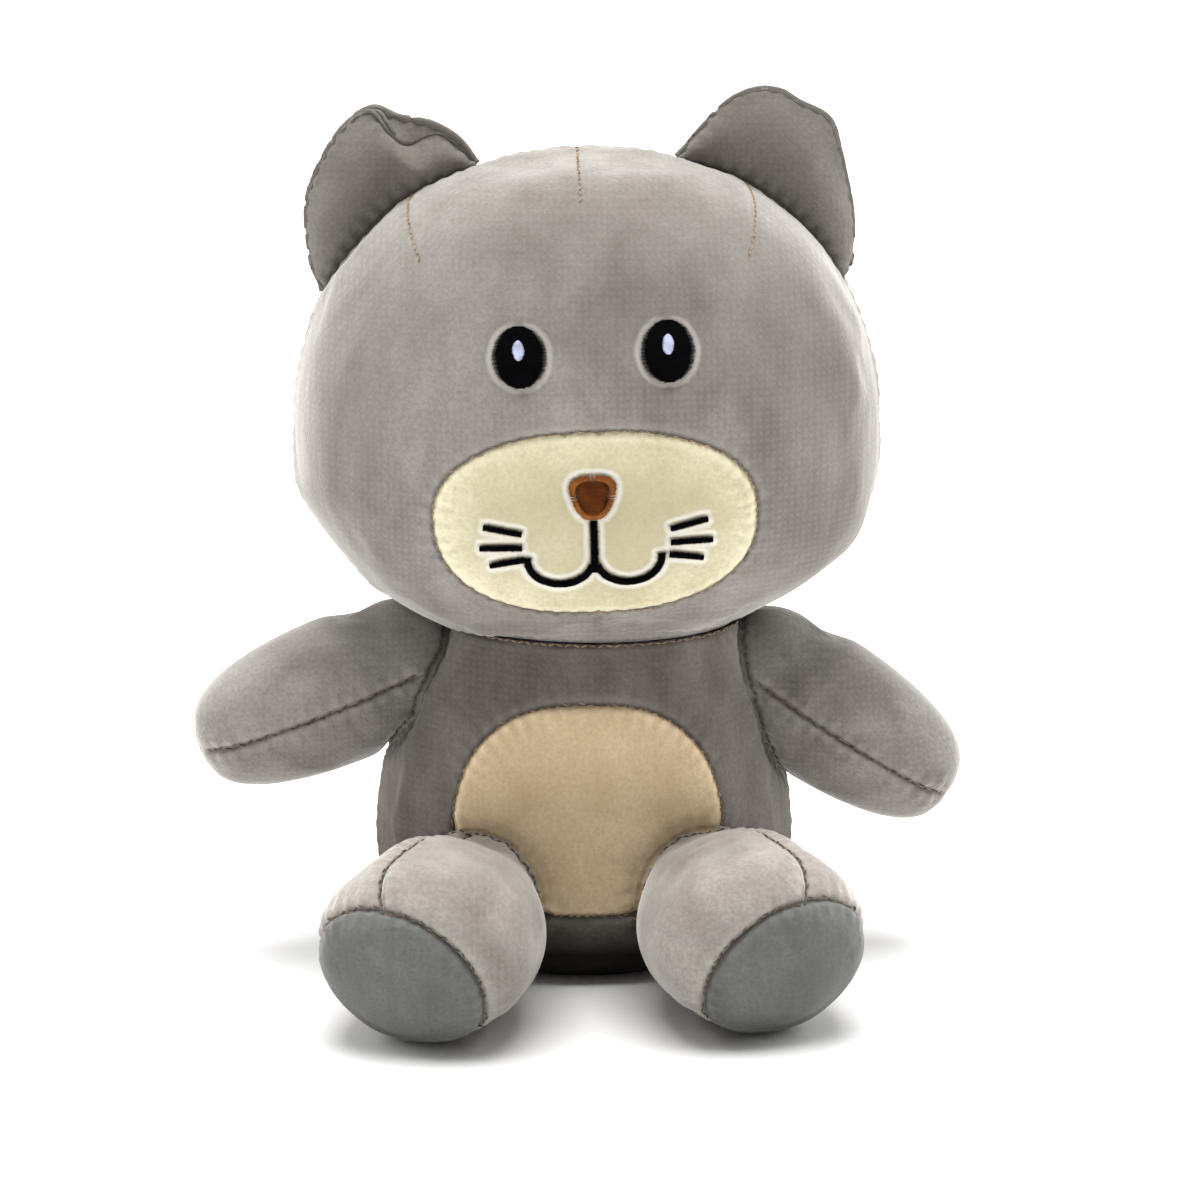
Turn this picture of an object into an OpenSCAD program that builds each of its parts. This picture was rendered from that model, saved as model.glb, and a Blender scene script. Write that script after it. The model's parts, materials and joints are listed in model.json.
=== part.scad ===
// Sitting plush cat: sewn velboa skins over fibre filling, with jointed head, arms, legs, ears and tail.
// Origin: centre of the flat seat, on the floor. +Z up, the face looks along -Y, the cat's left is +X.

/* [Head] */
// Half width of the head, ear to ear
head_half_w = 83; // [78:1:88]
// Half depth of the head, face to back
head_half_d = 66; // [62:1:70]
// Height of the head above its widest level
head_up = 79; // [76:1:84]
// Height of the head below its widest level
head_down = 58; // [55:1:60]
// Height of the head's widest level above the floor
head_level = 150; // [148:1:152]
// Sideways lean of the head, degrees
head_lean = -2; // [-3:0.5:0]
// How far the head sits to the cat's left of the neck
head_shift = 3; // [0:0.5:4]

/* [Torso] */
// Half width of the torso at its widest
torso_half_w = 60; // [56:1:62]
// Half depth of the torso
torso_half_d = 51; // [48:1:54]
// Radius of the neck seam
neck_r = 46; // [44:1:47]
// Height of the neck seam
neck_z = 92; // [90:1:93]
// Radius of the flat seat panel
seat_r = 40; // [38:1:41]

/* [Arms] */
// Greatest radius of an arm
arm_r = 20.5; // [19:0.5:21]
// Radius of an arm at the shoulder
arm_root = 16.5; // [15:0.5:17]
// Length of an arm from the shoulder's centre to its tip
arm_len = 62; // [58:1:64]
// Height of the shoulders' centres
shoulder_z = 79; // [76:1:79]
// How far the left arm hangs below level, degrees
left_arm_drop = 33; // [25:1:35]
// How far the right arm hangs below level, degrees
right_arm_drop = 19; // [10:1:30]
// How far the left arm reaches forward, degrees
left_arm_reach = 12; // [0:1:20]
// How far the right arm reaches forward, degrees
right_arm_reach = 14; // [0:1:20]

/* [Legs] */
// Greatest half width of a leg
leg_r = 29; // [27:0.5:29]
// Radius of a leg at the hip
leg_root = 20.5; // [19:0.5:21]
// Height of a leg as a share of its width
leg_squat = 0.88; // [0.86:0.01:0.9]
// Length of a leg from the hip's centre to the middle of its sole
leg_len = 65; // [60:1:68]
// How far the right leg sits ahead of the left one
leg_stagger = 5; // [0:1:6]
// Radius of a sole
sole_r = 23.5; // [21:0.5:24]
// Outward turn of the legs, degrees
leg_splay = 12; // [10:1:14]

/* [Ears] */
// Width of an ear along its seam
ear_w = 57; // [52:1:58]
// Height of an ear above its seam
ear_h = 35; // [32:1:38]

/* [Fabric] */
// Thickness of the velboa with its pile
skin_t = 1.4; // [1.2:0.1:1.8]
// Gap between a limb's skin and its filling
lining_gap = 0.4; // [0.3:0.1:0.6]
// Gap between the torso's or head's skin and its filling
body_gap = 2.6; // [2.4:0.1:3]
// Height of the satin stitching above the skin
stitch_h = 0.9; // [0.6:0.1:1.2]

/* [Hidden] */

taupe = [0.60, 0.57, 0.54];
cream = [0.93, 0.87, 0.70];
peach = [0.90, 0.80, 0.64];
fibre = [0.96, 0.96, 0.94];
thread_black = [0.03, 0.03, 0.04];
brown = [0.36, 0.19, 0.08];

// The gap left along a seam, so that two panels don't share a face: its width, and as a turn
seam = 0.3;
seam_turn = 0.6;
deep = skin_t + lining_gap;
body_deep = skin_t + body_gap;
head_c = [0, 0, head_level];
neck_c = [0, 0, neck_z];
// Clearance kept around each ball-shaped limb root
ball_gap = 2.2;

function sgn_pow(x, p) = sign(x) * pow(abs(x), p);
function lerp(a, b, t) = a + (b - a) * t;
function unit(v) = v / norm(v);

// ---- thin panels and closed fillings from rows of points ----

// A thin panel between two equal arrays of points, out and in. wrap joins the last column to the
// first; pole says that the first row is a single point; flip turns the faces the other way round.
module panel(out, in, wrap = false, pole = false, flip = false) {
  rows = len(out);
  cols = len(out[rows - 1]);
  steps = wrap ? cols : cols - 1;
  layer = pole ? 1 + (rows - 1) * cols : rows * cols;
  function id(k, i, j) =
    k * layer + (pole ? (i == 0 ? 0 : 1 + (i - 1) * cols + j % cols) : i * cols + j % cols);
  function flat_points(a) = [for (i = [0:rows - 1]) for (j = [0:(pole && i == 0 ? 0 : cols - 1)]) a[i][j]];
  first = pole ? 1 : 0;
  sheet_faces = [
    for (i = [0:rows - 2]) for (j = [0:steps - 1]) for (k = [0, 1])
      each [
        if (!(pole && i == 0)) k == 0
          ? [id(0, i, j), id(0, i, j + 1), id(0, i + 1, j + 1)]
          : [id(1, i, j), id(1, i + 1, j + 1), id(1, i, j + 1)],
        k == 0
          ? [id(0, i, j), id(0, i + 1, j + 1), id(0, i + 1, j)]
          : [id(1, i, j), id(1, i + 1, j), id(1, i + 1, j + 1)]
      ]
  ];
  far_rim = [for (j = [0:steps - 1]) each square_face(
    id(0, rows - 1, j), id(0, rows - 1, j + 1), id(1, rows - 1, j + 1), id(1, rows - 1, j))];
  near_rim = pole ? [] : [for (j = [0:steps - 1]) each square_face(
    id(0, 0, j + 1), id(0, 0, j), id(1, 0, j), id(1, 0, j + 1))];
  side_rims = wrap ? [] : [for (i = [0:rows - 2]) each concat(
    square_face(id(0, i, 0), id(0, i + 1, 0), id(1, i + 1, 0), id(1, i, 0)),
    square_face(id(0, i + 1, cols - 1), id(0, i, cols - 1), id(1, i, cols - 1), id(1, i + 1, cols - 1)))];
  faces = concat(sheet_faces, far_rim, near_rim, side_rims);
  polyhedron(
    concat(flat_points(out), flat_points(in)),
    flip ? [for (f = faces) [f[2], f[1], f[0]]] : faces
  );
}
function square_face(a, b, c, d) = [[a, b, c], [a, c, d]];

// A closed solid through rings of points, with a point at each end
module filling(rings, start, end) {
  n = len(rings[0]);
  rows = len(rings);
  function id(i, j) = i * n + j % n;
  faces = concat(
    [for (i = [0:rows - 2]) for (j = [0:n - 1]) each square_face(
      id(i, j), id(i + 1, j), id(i + 1, j + 1), id(i, j + 1))],
    [for (j = [0:n - 1]) [rows * n, id(0, j), id(0, j + 1)]],
    [for (j = [0:n - 1]) [rows * n + 1, id(rows - 1, j + 1), id(rows - 1, j)]]
  );
  polyhedron(
    concat([for (r = rings) for (p = r) p], [start, end]),
    faces
  );
}

// ---- the head's surface ----

// How square the head is across, and up and down: 2 is an ellipse, more is squarer
head_wide = 2.25;
head_tall_above = 2.15;
head_tall_below = 2.6;
// The head is a soft box-like egg: how far p lies from its centre, where 1 is on the skin
function head_gauge(p) =
  let (v = p - head_c, tall = v[2] > 0 ? head_tall_above : head_tall_below,
       c = v[2] > 0 ? head_up : head_down,
       flat_r = pow(pow(abs(v[0]) / head_half_w, head_wide) + pow(abs(v[1]) / head_half_d, head_wide), 1 / head_wide))
  pow(pow(flat_r, tall) + pow(abs(v[2]) / c, tall), 1 / tall);
// p moved along its ray to the head's skin, then out by h
function on_head(p, h = 0) =
  let (v = p - head_c, s = head_c + v / head_gauge(p)) s + unit(v) * h;
// The face's point that is x across and at height z
function face_point(x, z, h = 0) =
  let (v = [x / head_half_w, 0, (z - head_level) / (z > head_level ? head_up : head_down)],
       tall = z > head_level ? head_tall_above : head_tall_below,
       flat_r = pow(max(0.001, 1 - pow(abs(v[2]), tall)), 1 / tall),
       y = -head_half_d * pow(max(0.001, pow(flat_r, head_wide) - pow(abs(v[0]), head_wide)), 1 / head_wide),
       p = [x, y, z])
  p + unit(p - head_c) * h;

module on_neck() translate(neck_c + [head_shift, 0, 0]) rotate([0, head_lean, 0]) translate(-neck_c) children();

// The muzzle patch's outline: a is the turn about its middle, s scales it
muzzle_half_w = 44;
muzzle_up = 24;
muzzle_down = 28;
muzzle_z = 135;
// How square the muzzle's outline is: 1 is an ellipse, less is squarer
muzzle_round = 0.86;
// How far the muzzle patch stands out from the face
muzzle_raise = 0.8;
function muzzle_outline(a, s) =
  let (h = sin(a) > 0 ? muzzle_up : muzzle_down)
  face_point(muzzle_half_w * s * sgn_pow(cos(a), muzzle_round), muzzle_z + h * s * sgn_pow(sin(a), muzzle_round));

// The neck's opening in the head
head_open_r = neck_r - 1;
head_open_z = neck_z + 7;
function neck_opening(a) = [head_open_r * cos(a), head_open_r * sin(a), head_open_z];
// The seam over the head and its ears, at the turn a from the crown, and the turn where it ends
function seam_point(a) = on_head(head_c + [sin(a), 0, cos(a)]);
neck_turn = atan2(head_open_r, head_open_z - head_level);
// The front panel's outer edge: the seam over the head, then the front half of the neck's opening

function head_front_edge(a) =
  let (t = (90 - a + 360) % 360, turn = t > 180 ? t - 360 : t)
  abs(turn) < neck_turn
    ? seam_point(turn) + [0, -seam / 2, 0]
    : neck_opening(turn > 0
        ? -90 * (turn - neck_turn) / (180 - neck_turn)
        : -180 - 90 * (turn + neck_turn) / (180 - neck_turn));

face_steps = 44;
function head_front_rows(h) = [for (i = [0:7]) [for (j = [0:face_steps - 1])
  let (a = j * 360 / face_steps, t = i / 7,
       p = lerp(muzzle_outline(a, 1.012), head_front_edge(a), t))
  on_head(p, h)]];

module head_front_panel() color(taupe) on_neck()
  panel(head_front_rows(0), head_front_rows(-skin_t), wrap = true);

// One back panel, from the side seam to the centre back seam, which it stays seam_turn short of
function head_back_rows(h) = [for (i = [0:10]) [for (j = [0:9])
  let (f = lerp(seam_turn / 2, 90 - seam_turn / 2, j / 9), t = neck_turn * i / 10)
  on_head(i == 0 ? head_c + [0.2, 0.2, 60]
    : i == 10 ? neck_opening(f)
    : head_c + 60 * [sin(t) * cos(f), sin(t) * sin(f), cos(t)], h)]];

module head_back_left_panel() color(taupe) on_neck()
  panel(head_back_rows(0), head_back_rows(-skin_t), pole = true);
module head_back_right_panel() color(taupe) on_neck() mirror([1, 0, 0])
  panel(head_back_rows(0), head_back_rows(-skin_t), pole = true);

module muzzle_patch() color(cream) on_neck()
  panel(muzzle_rows(muzzle_raise), muzzle_rows(-skin_t), wrap = true, pole = true);
function muzzle_rows(h) = [for (i = [0:6]) [for (j = [0:31])
  let (s = i / 6, a = j * 360 / 32) on_head(i == 0 ? face_point(0, muzzle_z) : muzzle_outline(a, s), h)]];

// Rings from just above the neck to just below the crown, h inside the skin
function head_fill_rings(h) = [for (i = [0:9]) [for (j = [0:23])
  let (t = lerp(141, 14, i / 9), a = j * 15)
  on_head(head_c + 60 * [sin(t) * cos(a), sin(t) * sin(a), cos(t)], -h)]];
module head_stuffing() color(fibre) on_neck() {
  rings = head_fill_rings(body_deep);
  filling(rings, [0, 0, rings[0][6][2]], head_c + [0, 0, head_up - body_deep]);
}

// ---- the embroidery ----

// A satin-stitched oval on the face, w wide and h high
module stitched_oval(x, z, w, h, low, high) {
  rows = function(lift) [for (i = [0:3]) [for (j = [0:23])
    let (s = i / 3, a = j * 15) face_point(x + w / 2 * s * cos(a), z + h / 2 * s * sin(a), lift - 0.4 * s)]];
  panel(rows(high), rows(low), wrap = true, pole = true);
}
eye_x = 19.7;
eye_z = 179.5;
eye_w = 14;
eye_h = 15.6;
// How far above the skin the stitching's underside lies, clear of the skin's own facets
on_pile = 0.45;
eye_top = stitch_h + 0.4;
module left_eye() color(thread_black) on_neck() stitched_oval(eye_x, eye_z, eye_w, eye_h, on_pile, eye_top);
module right_eye() color(thread_black) on_neck() stitched_oval(-eye_x, eye_z, eye_w, eye_h, on_pile, eye_top);
module eye_highlights() color("white") on_neck() for (side = [-1, 1])
  stitched_oval(side * eye_x, eye_z + 3, 3, 4.6, eye_top + on_pile, eye_top + on_pile + 0.45);

// The nose: a triangle on its point with full corners, s scales it
nose_z = 141.5;
nose_half_w = 7.6;
nose_half_h = 6.2;
// How much narrower the nose is at its foot than at its top
nose_narrow = 0.45;
// Height above the face where the stitching on the muzzle starts
on_muzzle = muzzle_raise + on_pile;
function nose_outline(a, s) =
  let (x = nose_half_w * sgn_pow(cos(a), 0.75), z = nose_half_h * sgn_pow(sin(a), 0.75),
       narrow = 1 - nose_narrow * (1 - z / nose_half_h) / 2)
  [x * narrow * s, nose_z + z * s];
function nose_rows(lift, s0, s1) = [for (i = [0:3]) [for (j = [0:31])
  let (s = lerp(s0, s1, i / 3), q = nose_outline(j * 360 / 32, s)) face_point(q[0], q[1], lift)]];
module nose_fill() color(brown) on_neck()
  panel(nose_rows(on_muzzle + stitch_h, 0, 0.7), nose_rows(on_muzzle, 0, 0.7), wrap = true, pole = true);
module nose_border() color(brown) on_neck()
  panel(nose_rows(on_muzzle + stitch_h + 0.4, 0.74, 1), nose_rows(on_muzzle, 0.74, 1), wrap = true);

// A stitched line w wide along points given as [x, z]
module stitched_line(route, w) {
  n = len(route);
  function way(i) = unit(route[min(i + 1, n - 1)] - route[max(i - 1, 0)]);
  rows = function(lift) [for (i = [0:n - 1]) [for (k = [-1, 0, 1])
    let (q = route[i] + w / 2 * k * [-way(i)[1], way(i)[0]])
    face_point(q[0], q[1], lift - (k == 0 ? 0 : 0.25))]];
  panel(rows(on_muzzle + stitch_h), rows(on_muzzle));
}
mouth_z = 117.2;
mouth_w = 2.2;
// Half width and half height of one of the mouth's two curves, and how far from the middle it starts
mouth_half = 8.8;
mouth_dip = 7.2;
mouth_side = 9.2;
module mouth_stitching() color(thread_black) on_neck() {
  stitched_line([for (i = [0:4]) [0, lerp(nose_z - 7, mouth_z + 6, i / 4)]], mouth_w);
  for (side = [-1, 1])
    stitched_line([for (i = [0:9]) let (a = lerp(-152, 0, i / 9))
      [side * (mouth_side + mouth_half * cos(a)), mouth_z + mouth_dip * (1 + sin(a))]], mouth_w);
}
// One whisker from the end near the mouth, out for len at the angle a
function whisker(side, x, z, a, len) =
  [for (i = [0:3]) [side * (x + len * cos(a) * i / 3), z + len * sin(a) * i / 3]];
whisker_w = 1.9;
module whisker_stitching() color(thread_black) on_neck() for (side = [-1, 1]) {
  stitched_line(whisker(side, 20, 131.8, 12, 10), whisker_w);
  stitched_line(whisker(side, 20, 128, 0, 11), whisker_w);
  stitched_line(whisker(side, 19.6, 124.6, -10, 9), whisker_w);
}

// ---- the torso ----

// The torso's seat rounds up to seat_top, it is widest at waist_z, and then narrows to the neck
seat_top = 13;
waist_z = 35;
// Its width at seat_top, as a share of its greatest
seat_share = 0.955;
// How late the torso narrows: 1 is a straight cone
shoulder_power = 1.75;
function torso_rise(z) = max(0, (z - waist_z) / (neck_z - waist_z));
// Half width of the torso at height z, as a share of its greatest
function torso_profile(z) =
  z < seat_top ? lerp(seat_r / torso_half_w, seat_share, sqrt(max(0, 1 - pow(1 - z / seat_top, 2))))
    : lerp(seat_share, 1, sin(min(1, (z - seat_top) / (waist_z - seat_top)) * 90))
      * (1 - (1 - neck_r / torso_half_w) * pow(torso_rise(z), shoulder_power));
// The neck is nearly round: its depth is this share of its width
neck_depth = 0.95;
// The torso's skin at the turn a about +Z and the height z, h inside it
function torso_point(a, z, h = 0) =
  let (p = torso_profile(z), d = lerp(torso_half_d, torso_half_w * neck_depth, torso_rise(z)),
       x = (torso_half_w * p - h) * cos(a), y = (d * p - h) * sin(a))
  clear_of_limbs([x, y, z], h);

// Places of the ball-shaped limb roots, which lie at the torso's skin
shoulder_x = 53;
hip_x = 33;
hip_y = -41;
hip_z = leg_r * leg_squat + 0.1;
tail_y = 50;
tail_z = 12.5;
tail_r = 11;
shoulder_c = [shoulder_x, -2, shoulder_z];
// The hip's centre, where ahead moves it forward
function hip_c(ahead) = [hip_x, hip_y - ahead, hip_z];
tail_c = [0, tail_y, tail_z];
function mirrored(p) = [-p[0], p[1], p[2]];
// Balls that the torso's skin stays clear of: each root, and the swell of the limb just past it
function side_roots(ahead) = [
  [shoulder_c, arm_root], [shoulder_c + [10, -3, -8], arm_root + 2.5],
  [hip_c(ahead), leg_root + 1], [hip_c(ahead) + [2, -9, 5], leg_root + 4.5]
];
roots = concat(
  side_roots(-leg_stagger / 2),
  [for (b = side_roots(leg_stagger / 2)) [mirrored(b[0]), b[1]]],
  [[tail_c, tail_r]]
);
// p pushed inward along its own level until it is clear of the ball b
function clear_of(p, b, h) =
  let (r = b[1] + ball_gap + h, v = p - b[0])
  norm(v) >= r ? p :
    let (inward = -unit([p[0], p[1], 0]), k = v * inward)
    p + inward * (-k + sqrt(max(0, k * k - v * v + r * r)));
function clear_of_limbs(p, h, i = 0) = i == len(roots) ? p : clear_of_limbs(clear_of(p, roots[i], h), h, i + 1);

// The belly patch: an arch, flat below, given by the turn about the torso and the height
belly_low = 21;
belly_mid = 46;
belly_top = 80;
belly_turn = 40;
// How far the patch stands out from the torso
belly_raise = 0.6;
function belly_edge(a, s) =
  let (x = sgn_pow(cos(a), 0.8), z = sgn_pow(sin(a), sin(a) < 0 ? 0.5 : 0.85))
  [-90 + belly_turn * s * x * (z > 0 ? 1 : 1 - 0.12 * z * z),
   belly_mid + s * z * (z > 0 ? belly_top - belly_mid : belly_mid - belly_low)];
module belly_patch() color(peach) {
  rows = function(h) [for (i = [0:6]) [for (j = [0:35])
    let (q = belly_edge(j * 10, i / 6)) torso_point(q[0], q[1], h)]];
  panel(rows(-belly_raise), rows(skin_t), wrap = true, pole = true);
}
// Thickness of the seat's disc
base_t = 2.4;
// The front panel runs from one side seam, under the arm, round the belly to the other
function torso_front_edge(a) =
  let (c = cos(a), s = sin(a), m = max(abs(c), abs(s)), u = c / m, v = s / m)
  [-90 + (90 - seam_turn / 2) * u, v > 0 ? lerp(belly_mid, neck_z, v) : lerp(belly_mid, base_t + 0.2, -v)];
module torso_front_panel() color(taupe) {
  rows = function(h) [for (i = [0:12]) [for (j = [0:71])
    let (a = j * 360 / 72, q = lerp(belly_edge(a, 1.03), torso_front_edge(a), i / 12))
    torso_point(q[0], q[1], h)]];
  panel(rows(0), rows(skin_t), wrap = true);
}
module torso_back_panel() {
  rows = function(h) [for (i = [0:12]) [for (j = [0:12])
    torso_point(lerp(seam_turn / 2 + 0.1, 90 - seam_turn / 2, j / 12), lerp(base_t + 0.2, neck_z, i / 12), h)]];
  panel(rows(0), rows(skin_t), flip = true);
}
module torso_back_left_panel() color(taupe) torso_back_panel();
module torso_back_right_panel() color(taupe) mirror([1, 0, 0]) torso_back_panel();

// The seat: a flat round disc that the whole toy rests on
module base_panel() color(taupe) cylinder(h = base_t, r = seat_r - 0.5, $fn = 96);

torso_fill_low = 14;
torso_fill_high = neck_z - 3;
module torso_stuffing() color(fibre) {
  rings = [for (i = [0:19]) [for (j = [0:59])
    torso_point(j * 6, lerp(torso_fill_low, torso_fill_high, i / 19), body_deep)]];
  filling(rings, [0, 0, torso_fill_low], [0, 0, torso_fill_high]);
}

// The pellets lie loose in their own bag, in one layer under the filling
bag_low = base_t + 0.3;
bag_high = torso_fill_low - 0.4;
bag_t = 0.6;
bag_r = seat_r - 12.5;
// The bag lies behind the middle of the seat
bag_y = 8;
module pellet_bag() color([0.85, 0.84, 0.80]) difference() {
  translate([0, bag_y, bag_low]) cylinder(h = bag_high - bag_low, r = bag_r, $fn = 64);
  translate([0, bag_y, bag_low + bag_t]) cylinder(h = bag_high - bag_low - 2 * bag_t, r = bag_r - bag_t, $fn = 64);
}
pellet_r = 1.9;
pellet_pitch = 5.6;
module bean_pellets() color([0.80, 0.82, 0.86])
  for (ring = [0:4]) for (k = [0:max(0, ring * 6 - 1)])
    translate([ring * pellet_pitch * cos(k * 60 / max(1, ring)), bag_y + ring * pellet_pitch * sin(k * 60 / max(1, ring)),
               bag_low + bag_t + 0.1 + pellet_r])
      sphere(r = pellet_r, $fn = 24);

// A folded, blank satin label, sewn into the centre back seam
label = [1, 14, 22];
label_z = 38;
module sewn_in_label() color("white")
  translate([-label[0] / 2, torso_half_d + 0.6, label_z]) cube(label);

// ---- the neck ----

module neck_stuffing() color(fibre) translate([0, 0, neck_z - 2.4]) cylinder(h = 2.6, r = neck_r - 14, $fn = 64);

// ---- the limbs ----

// The share of its length at which a limb is thickest
thickest = 0.55;
// How blunt an arm's and the tail's tips are: 2 is round, more is blunter
arm_blunt = 3.2;
tail_blunt = 4;
// Radius of a limb at the share t of its length, from the ball at its root (t < 0) to its tip
function limb_r(t, r0, r1, blunt) =
  lerp(r0, r1, (1 - cos(min(1, max(0, t) / thickest) * 180)) / 2) * pow(max(0, 1 - pow(max(0, t), blunt)), 1 / blunt);

// Points round a limb that lies along +X from its root, h inside its skin
function arm_ring(s, h, from, to, n) =
  let (x = s < 0 ? (arm_root - h) * sin(s) : lerp(0, arm_len - h, s),
       r = s < 0 ? (arm_root - h) * cos(s) : max(0.02, limb_r(s, arm_root, arm_r, arm_blunt) - h * pow(1 - s, 0.2)))
  [for (j = [0:n - 1]) let (a = lerp(from, to, j / (n - 1))) [x, r * cos(a), r * sin(a)]];
arm_stations = [1, 0.985, 0.95, 0.89, 0.8, 0.68, 0.55, 0.42, 0.28, 0.14, 0, -25, -50];
module arm_panel(from, to) {
  rows = function(h) [for (s = arm_stations) arm_ring(s, h, from, to, 13)];
  panel(rows(0), rows(skin_t), pole = true);
}
module arm_filling() {
  rings = [for (s = [-60, -40, -20, 0, 0.2, 0.4, 0.6, 0.75, 0.87, 0.95]) arm_ring(s, deep, 0, 350, 36)];
  filling(rings, [rings[0][0][0], 0, 0], [rings[9][0][0], 0, 0]);
}
module place_left_arm() translate(shoulder_c) rotate([0, 0, -left_arm_reach]) rotate([0, left_arm_drop, 0]) children();
module place_right_arm() mirror([1, 0, 0]) translate(shoulder_c)
  rotate([0, 0, -right_arm_reach]) rotate([0, right_arm_drop, 0]) children();
module left_arm_upper_panel() color(taupe) place_left_arm() arm_panel(seam_turn, 180 - seam_turn);
module left_arm_lower_panel() color(taupe) place_left_arm() arm_panel(180 + seam_turn, 360 - seam_turn);
module left_arm_stuffing() color(fibre) place_left_arm() arm_filling();
module right_arm_upper_panel() color(taupe) place_right_arm() arm_panel(seam_turn, 180 - seam_turn);
module right_arm_lower_panel() color(taupe) place_right_arm() arm_panel(180 + seam_turn, 360 - seam_turn);
module right_arm_stuffing() color(fibre) place_right_arm() arm_filling();

// How far short of the sole's middle the leg's own skin ends, and how far the sole domes
leg_end = 4;
sole_dome = 2.4;
// A leg lies along +X from its hip; its radius swells over the thigh and closes to the sole's edge
function leg_radius(t) = t < thickest ? lerp(leg_root, leg_r, (1 - cos(t / thickest * 180)) / 2)
  : lerp(sole_r, leg_r, sqrt(max(0, 1 - pow((t - thickest) / (1 - thickest), 2.2))));
function leg_ring(s, h, from, to, n) =
  let (x = s < 0 ? (leg_root - h) * sin(s) : lerp(0, leg_len - leg_end, s),
       r = s < 0 ? (leg_root - h) * cos(s) : leg_radius(s) - h)
  [for (j = [0:n - 1]) let (a = lerp(from, to, j / (n - 1))) [x, r * cos(a), leg_squat * r * sin(a)]];
leg_stations = [1, 0.97, 0.92, 0.84, 0.74, 0.62, 0.46, 0.3, 0.15, 0, -22, -44];
module leg_panel(from, to) {
  rows = function(h) [for (s = leg_stations) leg_ring(s, h, from, to, 15)];
  panel(rows(0), rows(skin_t));
}
module leg_sole() {
  rows = function(h) [for (i = [0:4]) [for (j = [0:23])
    let (s = i / 4, a = j * 15, r = (sole_r - 0.2) * s)
    [leg_len - h - sole_dome * s * s + 0.2, r * cos(a), leg_squat * r * sin(a)]]];
  panel(rows(0), rows(skin_t), wrap = true, pole = true);
}
module leg_filling() {
  rings = [for (s = [-60, -40, -20, 0, 0.2, 0.4, 0.6, 0.8, 0.9, 0.96]) leg_ring(s, deep + 0.2, 0, 350, 36)];
  filling(rings, [rings[0][0][0], 0, 0], [rings[9][0][0], 0, 0]);
}
module place_leg(ahead) translate(hip_c(ahead)) rotate([0, 0, -90 + leg_splay]) children();
module place_left_leg() place_leg(-leg_stagger / 2) children();
module place_right_leg() mirror([1, 0, 0]) place_leg(leg_stagger / 2) children();
module left_leg_inner_panel() color(taupe) place_left_leg() leg_panel(90 + seam_turn, 270 - seam_turn);
module left_leg_outer_panel() color(taupe) place_left_leg() leg_panel(-90 + seam_turn, 90 - seam_turn);
module left_sole() color(taupe) place_left_leg() leg_sole();
module left_leg_stuffing() color(fibre) place_left_leg() leg_filling();
module right_leg_inner_panel() color(taupe) place_right_leg() leg_panel(90 + seam_turn, 270 - seam_turn);
module right_leg_outer_panel() color(taupe) place_right_leg() leg_panel(-90 + seam_turn, 90 - seam_turn);
module right_sole() color(taupe) place_right_leg() leg_sole();
module right_leg_stuffing() color(fibre) place_right_leg() leg_filling();

// ---- the ears ----

// An ear stands on the seam over the head: a full-cornered triangle, s across from -1 to 1, t up
ear_turn = 38;
ear_base = seam_point(ear_turn);
// Gap between the ear's foot and the head
ear_gap = 1;
// The turn round the head that half of the ear's foot covers
ear_half_turn = ear_w / 3.1;
// The head's seam under the ear, in the ear's own frame: x along the seam, z away from the head
function ear_foot(s) =
  let (turn = ear_turn + s * ear_half_turn, v = on_head(head_c + [sin(turn), 0, cos(turn)], ear_gap) - ear_base)
  [v[0] * cos(ear_turn) - v[2] * sin(ear_turn), v[0] * sin(ear_turn) + v[2] * cos(ear_turn)];
// How far the middle of the ear's foot lies above its ends
ear_sag = 7;
function ear_rim(s) =
  let (f = ear_foot(sign(s))) [f[0] * abs(s) * 0.93 + 2 * (1 - s * s),
    lerp(ear_h - ear_sag, f[1], 1 - pow(max(0, 1 - pow(abs(s), 2.6)), 0.45))];
function ear_point(s, t, y) =
  let (q = lerp(ear_foot(s), ear_rim(s), t))
  [q[0], sign(y) * 0.2 + y * 3 * t * (1 - t) * (1 - s * s), q[1]];
ear_bulge = 4.5;
module ear_layer(side) {
  rows = function(h) [for (i = [0:6]) [for (j = [0:12])
    ear_point(lerp(-0.99, 0.99, j / 12), i / 6, side * ear_bulge) + [0, side * h, 0]]];
  panel(rows(skin_t), rows(0), flip = side < 0);
}
module place_left_ear() on_neck() translate(ear_base) rotate([0, ear_turn, 0]) children();
module place_right_ear() on_neck() mirror([1, 0, 0]) translate(ear_base) rotate([0, ear_turn, 0]) children();
module left_ear_front_panel() color(taupe) place_left_ear() ear_layer(-1);
module left_ear_back_panel() color(taupe) place_left_ear() ear_layer(1);
module right_ear_front_panel() color(taupe) place_right_ear() ear_layer(-1);
module right_ear_back_panel() color(taupe) place_right_ear() ear_layer(1);

// ---- the tail ----

tail_len = 58;
tail_mid_r = 10;
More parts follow.
